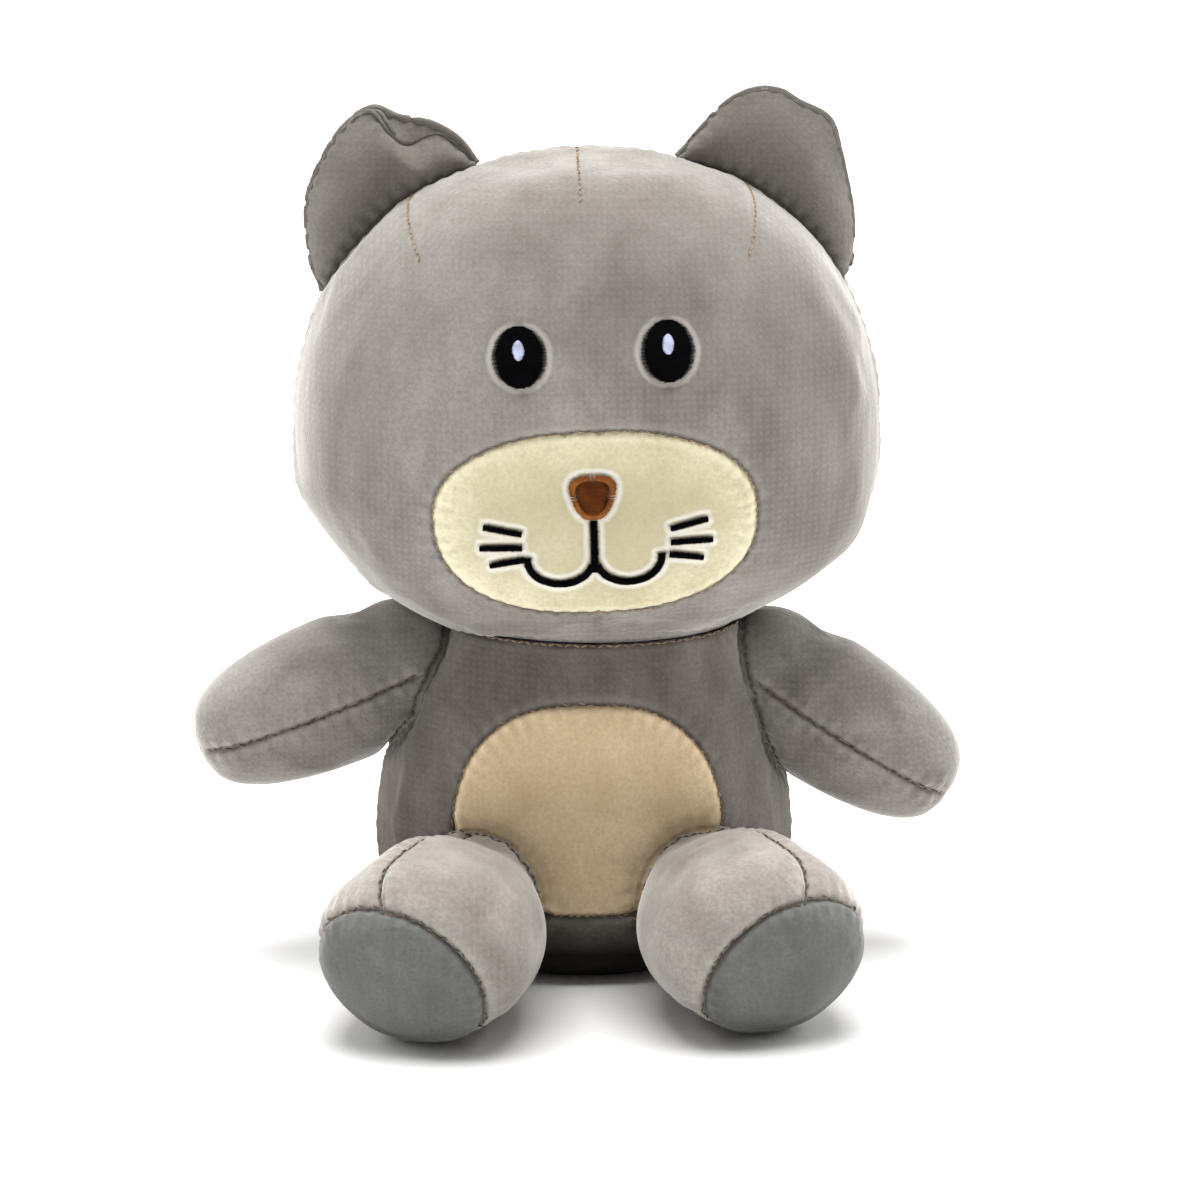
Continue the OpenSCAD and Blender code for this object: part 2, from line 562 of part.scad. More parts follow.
// How far the tail curls up at its tip
tail_lift = 14;
function tail_ring(s, h, from, to, n) =
  let (x = s < 0 ? (tail_r - h) * sin(s) : lerp(0, tail_len - h, s), lift = s < 0 ? 0 : tail_lift * s * s,
       r = s < 0 ? (tail_r - h) * cos(s) : max(0.02, limb_r(s, tail_r, tail_mid_r, tail_blunt) - h * pow(1 - s, 0.2)))
  [for (j = [0:n - 1]) let (a = lerp(from, to, j / (n - 1))) [x, r * cos(a), lift + r * sin(a)]];
module tail_panel(from, to) {
  rows = function(h) [for (s = [1, 0.985, 0.95, 0.88, 0.78, 0.64, 0.48, 0.32, 0.16, 0, -25, -50])
    tail_ring(s, h, from, to, 11)];
  panel(rows(0), rows(skin_t), pole = true);
}
module place_tail() translate(tail_c) rotate([0, 0, 90]) children();
module tail_left_panel() color(taupe) place_tail() tail_panel(-90 - 180 + seam_turn, -90 - seam_turn);
module tail_right_panel() color(taupe) place_tail() tail_panel(-90 + seam_turn, 90 - seam_turn);
module tail_stuffing() color(fibre) place_tail() {
  rings = [for (s = [-55, -30, 0, 0.25, 0.5, 0.7, 0.84, 0.93]) tail_ring(s, deep, 0, 345, 24)];
  filling(rings, [rings[0][0][0], 0, 0], [rings[7][0][0], 0, 12]);
}

torso_front_panel();
torso_back_left_panel();
torso_back_right_panel();
belly_patch();
base_panel();
torso_stuffing();
pellet_bag();
bean_pellets();
sewn_in_label();
neck_stuffing();
head_front_panel();
head_back_left_panel();
head_back_right_panel();
muzzle_patch();
left_eye();
right_eye();
eye_highlights();
nose_fill();
nose_border();
mouth_stitching();
whisker_stitching();
head_stuffing();
left_ear_front_panel();
left_ear_back_panel();
right_ear_front_panel();
right_ear_back_panel();
left_arm_upper_panel();
left_arm_lower_panel();
left_arm_stuffing();
right_arm_upper_panel();
right_arm_lower_panel();
right_arm_stuffing();
left_leg_inner_panel();
left_leg_outer_panel();
left_sole();
left_leg_stuffing();
right_leg_inner_panel();
right_leg_outer_panel();
right_sole();
right_leg_stuffing();
tail_left_panel();
tail_right_panel();
tail_stuffing();
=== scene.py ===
# %% [markdown]
# # A sitting plush cat, sewn piece by piece
#
# The cat is a set of short-pile fabric skins sewn together and stuffed with fibre. Each skin panel is
# made here as the real one is: as a piece of a closed form that is filled until it is tight, held in at
# its seams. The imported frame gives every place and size, so that each skin lands on its CAD solid.

# %% Load the frame
import json
import math
import bmesh
import bpy
import numpy as np
from mathutils import Matrix, Vector
from mathutils.bvhtree import BVHTree
from mathutils.kdtree import KDTree


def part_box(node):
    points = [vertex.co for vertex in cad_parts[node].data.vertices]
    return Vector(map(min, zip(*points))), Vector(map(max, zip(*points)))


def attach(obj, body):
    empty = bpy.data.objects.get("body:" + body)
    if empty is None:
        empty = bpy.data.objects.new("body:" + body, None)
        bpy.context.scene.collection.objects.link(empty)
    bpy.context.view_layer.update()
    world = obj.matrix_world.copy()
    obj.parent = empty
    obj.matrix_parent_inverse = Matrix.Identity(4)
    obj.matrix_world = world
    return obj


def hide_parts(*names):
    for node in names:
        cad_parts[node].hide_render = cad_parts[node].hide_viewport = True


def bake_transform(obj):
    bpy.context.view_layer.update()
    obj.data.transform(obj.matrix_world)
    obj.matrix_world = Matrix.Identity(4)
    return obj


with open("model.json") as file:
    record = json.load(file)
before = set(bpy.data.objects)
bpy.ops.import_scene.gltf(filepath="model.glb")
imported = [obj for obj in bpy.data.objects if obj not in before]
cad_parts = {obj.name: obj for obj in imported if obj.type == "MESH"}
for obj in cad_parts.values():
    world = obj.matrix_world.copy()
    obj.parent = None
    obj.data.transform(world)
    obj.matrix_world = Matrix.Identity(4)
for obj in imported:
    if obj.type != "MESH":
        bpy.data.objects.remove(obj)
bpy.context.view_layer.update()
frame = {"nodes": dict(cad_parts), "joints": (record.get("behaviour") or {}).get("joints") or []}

MM = 0.001


# %% [markdown]
# ## Sizes from the frame
#
# The joints give the middle of the neck, the shoulders, hips, tail root and ear seams. The boxes of the
# nodes give how wide, deep and high each form is. Only shares of those sizes are given.

# %% Sizes and places
def boxes(*nodes):
    """Lowest and highest corner over several nodes."""
    corners = [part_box(node) for node in nodes]
    return np.min([c[0] for c in corners], 0), np.max([c[1] for c in corners], 0)


joints = {j["name"]: j for j in frame["joints"]}
place = {name: np.array(j["pos_m"]) for name, j in joints.items()}
HEAD_LEAN = math.radians(-2)
neck_mid = place["head_turn"]
head_low, head_high = boxes("head_front_panel", "head_back_left_panel", "head_back_right_panel")
HEAD_UP, HEAD_DOWN = 79 * MM, 58 * MM
head_size = np.array([(head_high[0] - head_low[0]) / 2, (head_high[1] - head_low[1]) / 2, HEAD_UP])
head_level = head_high[2] - HEAD_UP
head_mid = np.array([0, 0, head_level])
torso_low, torso_high = boxes("torso_front_panel", "torso_back_left_panel", "torso_back_right_panel")
torso_half_w = (torso_high[0] - torso_low[0]) / 2
torso_half_d = 51 * MM
neck_z = torso_high[2]
neck_r = 46 * MM
seat_r = (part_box("base_panel")[1].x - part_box("base_panel")[0].x) / 2
print("head half sizes, mm:", (head_size / MM).round(1), "level", round(head_level / MM, 1))
print("torso half width, mm:", round(torso_half_w / MM, 1), "neck height", round(neck_z / MM, 1))


# %% [markdown]
# ## The camera
#
# A long lens, a metre away and a little above the cat's eyes, as for a catalogue picture. The camera
# comes early because everything else is judged through it.

# %% Camera
VIEW_TURN, VIEW_RISE, VIEW_FAR = math.radians(-1.8), math.radians(12), 1.0
look_at = Vector((4.6 * MM, 0, 100 * MM))
towards = Vector((math.sin(VIEW_TURN) * math.cos(VIEW_RISE), -math.cos(VIEW_TURN) * math.cos(VIEW_RISE),
                  math.sin(VIEW_RISE)))
bpy.ops.object.camera_add(location=look_at + VIEW_FAR * towards)
camera = bpy.context.object
camera.rotation_euler = (-towards).to_track_quat("-Z", "Y").to_euler()
camera.data.lens = 105
camera.data.sensor_width = 36
bpy.context.scene.camera = camera
print("camera at", [round(c, 3) for c in camera.location])


# %% [markdown]
# ## Small helpers
#
# A skin is a stack of closed rings of points, so one helper turns rings into a mesh and remembers which
# panel each face belongs to. Points that share a place are merged, which closes the poles and sews the
# edges of neighbouring panels.

# %% Helpers for meshes
def select_nothing():
    for other in bpy.context.selected_objects:
        other.select_set(False)


def alone(piece):
    """Selects one piece and nothing else."""
    select_nothing()
    piece.select_set(True)
    bpy.context.view_layer.objects.active = piece


def spaced(count, start=True, end=True):
    """Numbers from 0 to 1, closer together near the ends that are seams."""
    gaps = np.ones(count - 1)
    k = np.arange(count - 1)
    if start:
        gaps -= 0.75 * np.exp(-(k / 2.2) ** 2)
    if end:
        gaps -= 0.75 * np.exp(-((count - 2 - k) / 2.2) ** 2)
    return np.minimum(np.concatenate([[0], np.cumsum(gaps) / gaps.sum()]), 1)


def signed_power(x, p):
    return np.sign(x) * np.abs(x) ** p


def smooth_step(x, low, high):
    t = np.clip((x - low) / (high - low), 0, 1)
    return t * t * (3 - 2 * t)


def linked(name, mesh):
    piece = bpy.data.objects.new(name, mesh)
    bpy.context.scene.collection.objects.link(piece)
    return piece


def new_piece(name, points, faces):
    mesh = bpy.data.meshes.new(name)
    mesh.from_pydata(points.tolist(), [], faces)
    return linked(name, mesh)


def smooth_faces(piece):
    for face in piece.data.polygons:
        face.use_smooth = True


def clean(mesh, merge=True, turn=True):
    """Merges the points that share a place, and turns the faces outward."""
    work = bmesh.new()
    work.from_mesh(mesh)
    if merge:
        bmesh.ops.remove_doubles(work, verts=work.verts, dist=0.01 * MM)
    if turn:
        bmesh.ops.recalc_face_normals(work, faces=work.faces)
    work.to_mesh(mesh)
    work.free()


def apply_modifier(piece, kind, **settings):
    alone(piece)
    made = piece.modifiers.new(kind.title(), kind)
    for key, value in settings.items():
        setattr(made, key, value)
    bpy.ops.object.modifier_apply(modifier=made.name)


def search_points(points):
    """A search tree that finds the nearest of the points."""
    tree = KDTree(len(points))
    for k, point in enumerate(points):
        tree.insert(point, k)
    tree.balance()
    return tree


def grid_faces(rows, columns, base=0, closed=True):
    """Faces between rows of points. A closed grid joins its last column to its first."""
    faces = []
    for low in range(base, base + (rows - 1) * columns, columns):
        for j in range(columns if closed else columns - 1):
            k = (j + 1) % columns
            faces.append((low + j, low + k, low + columns + k, low + columns + j))
    return faces


def sew_rings(name, stacks):
    """A mesh from stacks of rings. Each stack is (rings, panel of face (row, column))."""
    verts, faces, panels, base = [], [], [], 0
    for rings, panel_of in stacks:
        rows, columns = rings.shape[:2]
        verts.append(rings.reshape(-1, 3))
        faces += grid_faces(rows, columns, base)
        panels += [panel_of(i, j) for i in range(rows - 1) for j in range(columns)]
        base += rows * columns
    piece = new_piece(name, np.concatenate(verts), faces)
    piece.data.polygons.foreach_set("material_index", panels)
    clean(piece.data)
    return piece


def points_of(mesh, kind="co"):
    co = np.zeros(len(mesh.vertices) * 3)
    mesh.vertices.foreach_get(kind, co)
    return co.reshape(-1, 3)


def normals_of(mesh):
    return points_of(mesh, "normal")


def move_points(mesh, co):
    mesh.vertices.foreach_set("co", co.ravel())
    mesh.update()


def face_outward(piece, inside):
    """Turns the faces of an open skin so that they point away from the point inside."""
    mesh = piece.data
    centres = np.array([f.center[:] for f in mesh.polygons])
    normals = np.array([f.normal[:] for f in mesh.polygons])
    if ((centres - inside) * normals).sum() < 0:
        mesh.flip_normals()


def refine(piece):
    """One round of subdivision, applied."""
    apply_modifier(piece, "SUBSURF", levels=1, render_levels=1, boundary_smooth="PRESERVE_CORNERS")


# %% [markdown]
# ## Stuffing a skin
#
# Fibre presses the skin out evenly, and the seams, which are several layers thick and sewn, hold it in.
# Cloth simulation does this: the seam points are pinned, pressure pushes the rest, and a little spare
# cloth gathers into puckers along the seams. A cap keeps any point from moving too far.

# %% Cloth with pressure
FILL_FRAMES = 20


def sewn_points(piece):
    """The points where two panels meet, or where a panel ends."""
    mesh = piece.data
    panels_at = {}
    for face in mesh.polygons:
        for edge in face.edge_keys:
            panels_at.setdefault(edge, []).append(face.material_index)
    found = set()
    for edge, panels in panels_at.items():
        if len(panels) == 1 or panels[0] != panels[1]:
            found.update(edge)
    return sorted(found)


def stuff(piece, pressure, cap, spare):
    """Fills a skin by cloth simulation. No point moves more than cap, and less near a seam."""
    scene, pinned = bpy.context.scene, sewn_points(piece)
    before, outward = points_of(piece.data), normals_of(piece.data)
    group = piece.vertex_groups.new(name="sewn")
    group.add(pinned, 1.0, "REPLACE")
    alone(piece)
    cloth = piece.modifiers.new("Cloth", "CLOTH")
    settings = cloth.settings
    settings.quality = 5
    settings.mass = 0.25
    settings.tension_stiffness = settings.compression_stiffness = 18
    settings.shear_stiffness = 8
    settings.bending_stiffness = 0.4
    settings.use_pressure = True
    settings.uniform_pressure_force = pressure
    settings.shrink_min = -spare
    settings.vertex_group_mass = "sewn"
    settings.effector_weights.gravity = 0
    cloth.collision_settings.use_collision = False
    cloth.point_cache.frame_start, cloth.point_cache.frame_end = 1, FILL_FRAMES
    for step in range(1, FILL_FRAMES + 1):
        scene.frame_set(step)
    bpy.ops.object.modifier_apply(modifier=cloth.name)
    scene.frame_set(1)
    after = points_of(piece.data)
    held = search_points(before[pinned])
    from_seam = np.array([held.find(c)[2] for c in before])[:, None]
    far = ((after - before) * outward).sum(1, keepdims=True)
    allowed = np.maximum(cap * (1 - np.exp(-from_seam / (9 * MM))), 1e-9)
    move_points(piece.data, before + outward * allowed * np.tanh(far / allowed))
    piece.vertex_groups.clear()
    print(f"{piece.name}: filled, points moved up to {far.max() / MM:.1f} mm, kept to {cap / MM:.1f} mm")


# %% [markdown]
# ## Seams
#
# Along a seam the skin dips, and the gathered cloth makes small puckers at the pitch of the stitches.
# Both fade within a few millimetres, so they are worked out from each point's distance to the seam line
# and its place along it. The distance is also kept on the mesh, for the fabric's colour: painted shade in
# the seam's groove and across the middle of each panel.

# %% Seam lines and puckers
STITCH_PITCH = 2.3 * MM


def resample(line, step=None, count=None):
    """Points along a line, every step or as many as count, with how far along each one is."""
    line = np.asarray(line, float)
    far = np.concatenate([[0], np.cumsum(np.linalg.norm(np.diff(line, axis=0), axis=1))])
    along = np.linspace(0, far[-1], count or max(2, int(far[-1] / step) + 1))
    return np.stack([np.interp(along, far, line[:, k]) for k in range(3)], 1), along


def tree_of(*pieces):
    """A search tree over the faces of several pieces."""
    verts, faces, base = [], [], 0
    for piece in pieces:
        verts += [v.co for v in piece.data.vertices]
        faces += [tuple(base + i for i in p.vertices) for p in piece.data.polygons]
        base = len(verts)
    return BVHTree.FromPolygons(verts, faces)


def snap(tree, points):
    """The nearest places on a surface, and its normals there."""
    found = [tree.find_nearest(Vector(p)) for p in points]
    return np.array([f[0][:] for f in found]), np.array([f[1][:] for f in found])


def pull_in(piece, lines, depth=1.1 * MM, width=1.7 * MM, pucker=0.35 * MM, reach=4.5 * MM, shade=True):
    """Sinks the skin along its seam lines and puckers it on both sides."""
    mesh = piece.data
    samples = [resample(line, 0.6 * MM) for line in lines]
    spots = np.concatenate([s[0] for s in samples])
    along = np.concatenate([s[1] for s in samples])
    tree = search_points(spots)
    co, n = points_of(mesh), normals_of(mesh)
    hits = [tree.find(c) for c in co]
    far = np.array([h[2] for h in hits])
    place_along = along[[h[1] for h in hits]]
    wave = np.cos(2 * np.pi * place_along / (2 * STITCH_PITCH)) + 0.6 * np.cos(place_along / (5.1 * MM) + 1)
    drop = depth * np.exp(-(far / width) ** 2)
    ripple = pucker * wave * np.exp(-(far / reach) ** 2) * (1 - np.exp(-(far / (0.8 * MM)) ** 2))
    move_points(mesh, co - n * (drop - ripple)[:, None])
    if not shade:
        return
    # The distance is kept for the fabric's colour, which paints shade into the groove and across the middle
    # of each panel.
    keep = mesh.attributes.get("seam_mm")
    near = np.minimum(far / MM, 40).astype(np.float32)
    if keep is None:
        keep = mesh.attributes.new("seam_mm", "FLOAT", "POINT")
    else:
        was = np.zeros(len(near), np.float32)
        keep.data.foreach_get("value", was)
        near = np.minimum(near, was)
    keep.data.foreach_set("value", near)


def split_panels(form, names):
    """Cuts the filled form into its panels, one piece for each material index."""
    pieces = {}
    for index, name in names.items():
        mesh = form.data.copy()
        mesh.name = name
        work = bmesh.new()
        work.from_mesh(mesh)
        bmesh.ops.delete(work, geom=[f for f in work.faces if f.material_index != index], context="FACES")
        for face in work.faces:
            face.material_index = 0
            face.smooth = True
        work.to_mesh(mesh)
        work.free()
        pieces[name] = linked(name, mesh)
    bpy.data.objects.remove(form)
    return pieces


SKIN = 0.9 * MM


def thicken(piece):
    """Gives a panel the fabric's thickness, inwards."""
    apply_modifier(piece, "SOLIDIFY", thickness=SKIN, offset=-1)


# %% [markdown]
# ## The head's form
#
# The head is a wide soft egg, fuller below than above. The front panel is a ring of cloth between the
# muzzle patch and the seam that runs over the ears. The rings below follow that cut: they start in the
# middle of the muzzle, pass its edge, spread to the ear seam, and close again at the back of the head.

# %% The head as rings
def lean(p):
    """From the head's upright frame to its place on the leaning neck, with one cheek tucked in low down."""
    x, y, z = np.moveaxis(np.asarray(p, float) - [0, 0, neck_mid[2]], -1, 0)
    x = x + 5 * MM * smooth_step(-x, 30 * MM, 80 * MM) * smooth_step(48 * MM - z, 0, 30 * MM)
    c, s = math.cos(HEAD_LEAN), math.sin(HEAD_LEAN)
    return np.stack([x * c + z * s, y, -x * s + z * c], -1) + neck_mid


def upright(p):
    """From a place on the toy back to the head's upright frame."""
    x, y, z = np.moveaxis(np.asarray(p, float) - neck_mid, -1, 0)
    c, s = math.cos(HEAD_LEAN), math.sin(HEAD_LEAN)
    return np.stack([x * c - z * s, y, x * s + z * c + neck_mid[2]], -1)


def on_head(p):
    """p moved along its ray to the head's skin, in the upright frame."""
    v = p - head_mid
    up = v[..., 2] > 0
    tall = np.where(up, 2.15, 2.6)
    c = np.where(up, HEAD_UP, HEAD_DOWN)
    flat = ((np.abs(v[..., :2]) / head_size[:2]) ** 2.25).sum(-1) ** (1 / 2.25)
    gauge = (flat ** tall + (np.abs(v[..., 2]) / c) ** tall) ** (1 / tall)
    return head_mid + v / gauge[..., None]


def torso_profile(z):
    """Half width of the torso at a height, as a share of its greatest."""
    low, swell = 13 * MM, 35 * MM
    below = seat_r / torso_half_w + (0.955 - seat_r / torso_half_w) * np.sqrt(
        np.clip(1 - (1 - np.clip(z / low, 0, 1)) ** 2, 0, 1))
    above = 0.955 + 0.045 * np.sin(np.clip((z - low) / (22 * MM), 0, 1) * math.pi / 2)
    taper = 1 - (1 - neck_r / torso_half_w) * np.maximum((z - swell) / (neck_z - swell), 0) ** 1.75
    return np.where(z < low, below, above) * taper


NECK_TOP = neck_z + 4.5 * MM


def torso_point(turn, z):
    """The torso's skin at a turn about +Z, in degrees, and a height."""
    turn, z = np.radians(turn), np.asarray(z)
    share = torso_profile(z)
    rise = np.maximum((z - 35 * MM) / (neck_z - 35 * MM), 0)
    deep = torso_half_d + (torso_half_w * 0.95 - torso_half_d) * rise
    near_neck = smooth_step(z, 76 * MM, NECK_TOP)
    wide = torso_half_w + (deep - torso_half_w) * near_neck
    across = wide * share * np.cos(turn) + neck_mid[0] * near_neck
    return np.stack([across, deep * share * np.sin(turn), z + 0 * turn], -1)


MUZZLE_Z, MUZZLE_W, MUZZLE_UP, MUZZLE_DOWN = 135 * MM, 44 * MM, 24 * MM, 28 * MM


def face_point(x, z):
    """The point of the face that is x across and z high."""
    p = on_head(np.stack([x, -head_size[1] * np.ones_like(x) * 0.8, z], -1))
    for _ in range(6):
        p = on_head(np.stack([x, p[..., 1], z], -1))
    return p


def muzzle_edge(a, s):
    h = np.where(np.sin(a) > 0, MUZZLE_UP, MUZZLE_DOWN)
    across, up = MUZZLE_W * s * signed_power(np.cos(a), 0.86), h * s * signed_power(np.sin(a), 0.86)
    return face_point(across, MUZZLE_Z + up)


HEAD_COLUMNS = 180
neck_turn = math.atan2(44 * MM, NECK_TOP - head_level)


def head_edge(a, side):
    """The front (side -1) or back (side 1) edge: the seam over the ears, then half the neck ring."""
    turn = (math.pi / 2 - a + math.pi) % (2 * math.pi) - math.pi
    seam = on_head(head_mid + 0.06 * np.stack([np.sin(turn), 0 * turn, np.cos(turn)], -1))
    share = np.clip((np.abs(turn) - neck_turn) / (math.pi - neck_turn), 0, 1)
    phi = np.where(turn > 0, math.pi / 2 * share, math.pi - math.pi / 2 * share)
    ring = upright(torso_point(np.degrees(side * phi), NECK_TOP) + [0, 0, 0.3 * MM])
    near_neck = smooth_step(np.abs(turn), neck_turn - 0.1, neck_turn + 0.35)
    return np.where((np.abs(turn) < neck_turn)[..., None], seam, ring), near_neck


head_angles = np.arange(HEAD_COLUMNS) * 2 * math.pi / HEAD_COLUMNS


def head_rows(start, edge, near_neck, ts):
    """Rows from start to the edge on the head's skin. Near the neck they leave it for the ring."""
    rows = []
    for t in ts:
        q = start * (1 - t) + edge * t
        w = (near_neck * smooth_step(np.array(t), 0.84, 1.0))[:, None]
        rows.append(on_head(q) * (1 - w) + q * w if t < 1 else edge)
    return np.array(rows)


muzzle_s = 1 - (1 - spaced(15, False, True)) * 0.999
muzzle_rings = np.array([muzzle_edge(head_angles, s) for s in muzzle_s])
muzzle_rings[0] = muzzle_rings[0, 0]
front_edge, near_neck = head_edge(head_angles, -1)
back_edge, _ = head_edge(head_angles, 1)
front_rings = head_rows(muzzle_rings[-1], front_edge, near_neck, spaced(32))
back_pole = np.repeat(on_head(head_mid + np.array([[0, 0.06, -0.004]])), HEAD_COLUMNS, 0)
back_rings = head_rows(back_pole, back_edge, near_neck, spaced(40, False, True))
quarter = HEAD_COLUMNS // 4
head_form = sew_rings("head_form", [
    (lean(muzzle_rings), lambda i, j: 0),
    (lean(front_rings), lambda i, j: 1),
    (lean(back_rings[::-1]), lambda i, j: 2 if j < quarter or j >= 3 * quarter else 3)])
face_outward(head_form, lean(head_mid))
print("head form:", len(head_form.data.vertices), "points")

# %% Fill the head and cut it into panels
stuff(head_form, pressure=0.5, cap=1.6 * MM, spare=0.01)
refine(head_form)
head_tree = tree_of(head_form)


def on_head_line(points):
    """A line of points given in the head's upright frame, laid on the filled form."""
    return snap(head_tree, lean(np.asarray(points)))[0]


def down_from_crown(x_top, x_low, z_low):
    """A dart: a short seam from the ear seam down the forehead."""
    top = on_head(head_mid + np.array([x_top, 0, 0.07]))
    low = face_point(np.array([x_low]), np.array([z_low]))[0]
    return on_head(np.array([top + (low - top) * t for t in np.linspace(0, 1, 14)]))


seam_turns = np.linspace(-neck_turn, neck_turn, 160)
head_lines = {
    "muzzle": on_head_line(np.concatenate([muzzle_rings[-1], muzzle_rings[-1][:1]])),
    "crown": on_head_line(on_head(head_mid + 0.06 * np.stack(
        [np.sin(seam_turns), 0 * seam_turns, np.cos(seam_turns)], -1))),
    "back": on_head_line(np.concatenate([back_rings[::-1, quarter], back_rings[:, 3 * quarter]])),
    "middle_dart": on_head_line(down_from_crown(0, -0.4 * MM, 217 * MM)),
    "right_dart": on_head_line(down_from_crown(-0.047, -44.5 * MM, 203 * MM)),
    "left_dart": on_head_line(down_from_crown(0.047, 44.5 * MM, 201 * MM)),
    "neck": on_head_line(upright(torso_point(np.linspace(-180, 180, 150), NECK_TOP))),
    "chin_dart": on_head_line(front_rings[[0, 6, 12], 3 * quarter]),
}
pull_in(head_form, [head_lines[k] for k in ("muzzle", "crown", "back")], depth=0.9 * MM)
pull_in(head_form, [head_lines["neck"]], depth=0.3 * MM)
pull_in(head_form, [head_lines[k] for k in ("middle_dart", "left_dart", "right_dart", "chin_dart")],
        depth=0.5 * MM, width=1.3 * MM, pucker=0.15 * MM, reach=3 * MM, shade=False)
head_pieces = split_panels(head_form, {0: "muzzle_skin", 1: "head_front_skin", 2: "head_back_left_skin",
                                       3: "head_back_right_skin"})
print("head panels:", {n: len(p.data.polygons) for n, p in head_pieces.items()})


# %% [markdown]
# ## The torso's form
#
# The torso is a rounded cone with a flat seat. Its front panel has an arch cut out for the belly patch,
# and runs round to the side seams under the arms. Each ring is worked out as a turn about the upright
# axis and a height, and a profile gives how far out the skin is there.

# %% The torso as rings
BELLY_LOW, BELLY_MID, BELLY_TOP, BELLY_TURN = 21 * MM, 46 * MM, 80.5 * MM, 40


def belly_edge(a, s):
    """The belly patch's outline, as a turn and a height."""
    across = signed_power(np.cos(a), 0.8)
    rise = signed_power(np.sin(a), np.where(np.sin(a) < 0, 0.5, 0.85))
    turn = -90 + BELLY_TURN * s * across * np.where(rise > 0, 1, 1 - 0.12 * rise * rise)
    return turn, BELLY_MID + s * rise * np.where(rise > 0, BELLY_TOP - BELLY_MID, BELLY_MID - BELLY_LOW)


def torso_edge(a, middle):
    """The outer edge of the front (middle -90) or back (middle 90): side seams, neck ring and seat ring."""
    c, s = np.cos(a), np.sin(a)
    m = np.maximum(np.abs(c), np.abs(s))
    u, v = c / m, s / m
    z = np.where(v > 0, BELLY_MID + (NECK_TOP - BELLY_MID) * v, BELLY_MID + (BELLY_MID - 1.6 * MM) * v)
    return middle + (90 * u if middle < 0 else -90 * u), z


TORSO_COLUMNS = 176
torso_angles = np.arange(TORSO_COLUMNS) * 2 * math.pi / TORSO_COLUMNS


def torso_rows(inner, outer, ts):
    return np.array([torso_point(*(a * (1 - t) + b * t for a, b in zip(inner, outer))) for t in ts])


belly_rings = np.array([torso_point(*belly_edge(torso_angles, s)) for s in spaced(18, False, True)])
torso_front_rings = torso_rows(belly_edge(torso_angles, 1), torso_edge(torso_angles, -90), spaced(26))
torso_back_rings = torso_rows((90 + 0 * torso_angles, BELLY_MID + 0 * torso_angles),
                              torso_edge(torso_angles, 90), spaced(34, False, True))
side = TORSO_COLUMNS // 4
torso_form = sew_rings("torso_form", [
    (belly_rings, lambda i, j: 0),
    (torso_front_rings, lambda i, j: 1),
    (torso_back_rings[::-1], lambda i, j: 2 if j < side or j >= 3 * side else 3)])
face_outward(torso_form, np.array([0, 0, 45 * MM]))
print("torso form:", len(torso_form.data.vertices), "points")

# %% [markdown]
# ## Arms, legs and tail
#
# Each limb is a tube of two panels round an axis, with a ball at its root that sits in the torso. An arm
# and the tail close in a rounded tip. A foot is a ball, and its sole is a cap of that ball, tilted down
# and outwards. Every limb is made along +X, filled, and then set on the torso.

# %% Limb surfaces
ARM_LEN, ARM_R, ARM_ROOT = 61 * MM, 20.8 * MM, 19 * MM
LEG_R, LEG_ROOT, LEG_SQUAT, FOOT_X, FOOT_LONG = 29 * MM, 20.5 * MM, 0.88, 43 * MM, 25 * MM
TAIL_LEN, TAIL_R, TAIL_LIFT = 58 * MM, 11 * MM, 14 * MM


def swell(t, low, high):
    """A radius that grows smoothly from low to high over the share t of a limb."""
    return low + (high - low) * (1 - np.cos(np.clip(t, 0, 1) * math.pi)) / 2


def tube(x, a, root, radius, squat=1.0, lift=0.0):
    """A limb's skin at x along its axis and the turn a; below x = 0 it is the root's ball."""
    ball = root * np.sqrt(np.clip(1 - (np.minimum(x, 0) / root) ** 2, 0, 1))
    r = np.where(x < 0, ball, radius)
    return np.stack([x + 0 * a, r * np.cos(a) + 0 * x, lift + squat * r * np.sin(a)], -1)


def blunt(t, power):
    return np.clip(1 - np.clip(t, 0, 1) ** power, 0, 1) ** (1 / power)


def arm_at(x, a):
    t = x / ARM_LEN
    return tube(x, a, ARM_ROOT, swell(t / 0.32, ARM_ROOT, ARM_R) * blunt(t, 3.0))


def leg_at(x, a):
    foot = LEG_R * blunt((x - FOOT_X) / FOOT_LONG, 2.5)
    radius = np.where(x < FOOT_X, swell(x / (36 * MM), LEG_ROOT, LEG_R), foot)
    return tube(x, a, LEG_ROOT, radius, LEG_SQUAT)


def tail_at(x, a):
    t = x / TAIL_LEN
    lift = TAIL_LIFT * np.clip(t, 0, 1) ** 2
    return tube(x, a, TAIL_R, swell(t / 0.55, TAIL_R, 10 * MM) * blunt(t, 4), 1.0, lift)


def turned(origin, z_turn, y_turn=0.0, mirror=False):
    """Where a limb goes: turned about its root, and mirrored for the cat's right side."""
    turn = Matrix.Rotation(math.radians(z_turn), 4, "Z") @ Matrix.Rotation(math.radians(y_turn), 4, "Y")
    if mirror:
        turn = Matrix.Diagonal((-1, 1, 1, 1)) @ turn
    return Matrix.Translation(Vector(origin)) @ turn


LEG_SPLAY = 14
limb_place = {
    "left_arm": turned(place["left_arm_raise"], -12, 32),
    "right_arm": turned(place["right_arm_raise"] + [0, 0, 3 * MM], -15, 19, True),
    "left_leg": turned(place["left_leg_lift"], -90 + LEG_SPLAY),
    "right_leg": turned(place["right_leg_lift"], -90 + LEG_SPLAY, 0, True),
    "tail": turned(place["tail_swing"], 90),
}
skin_of = {"arm": arm_at, "leg": leg_at, "tail": tail_at}
limb_skin = {limb: skin_of[limb.split("_")[-1]] for limb in limb_place}


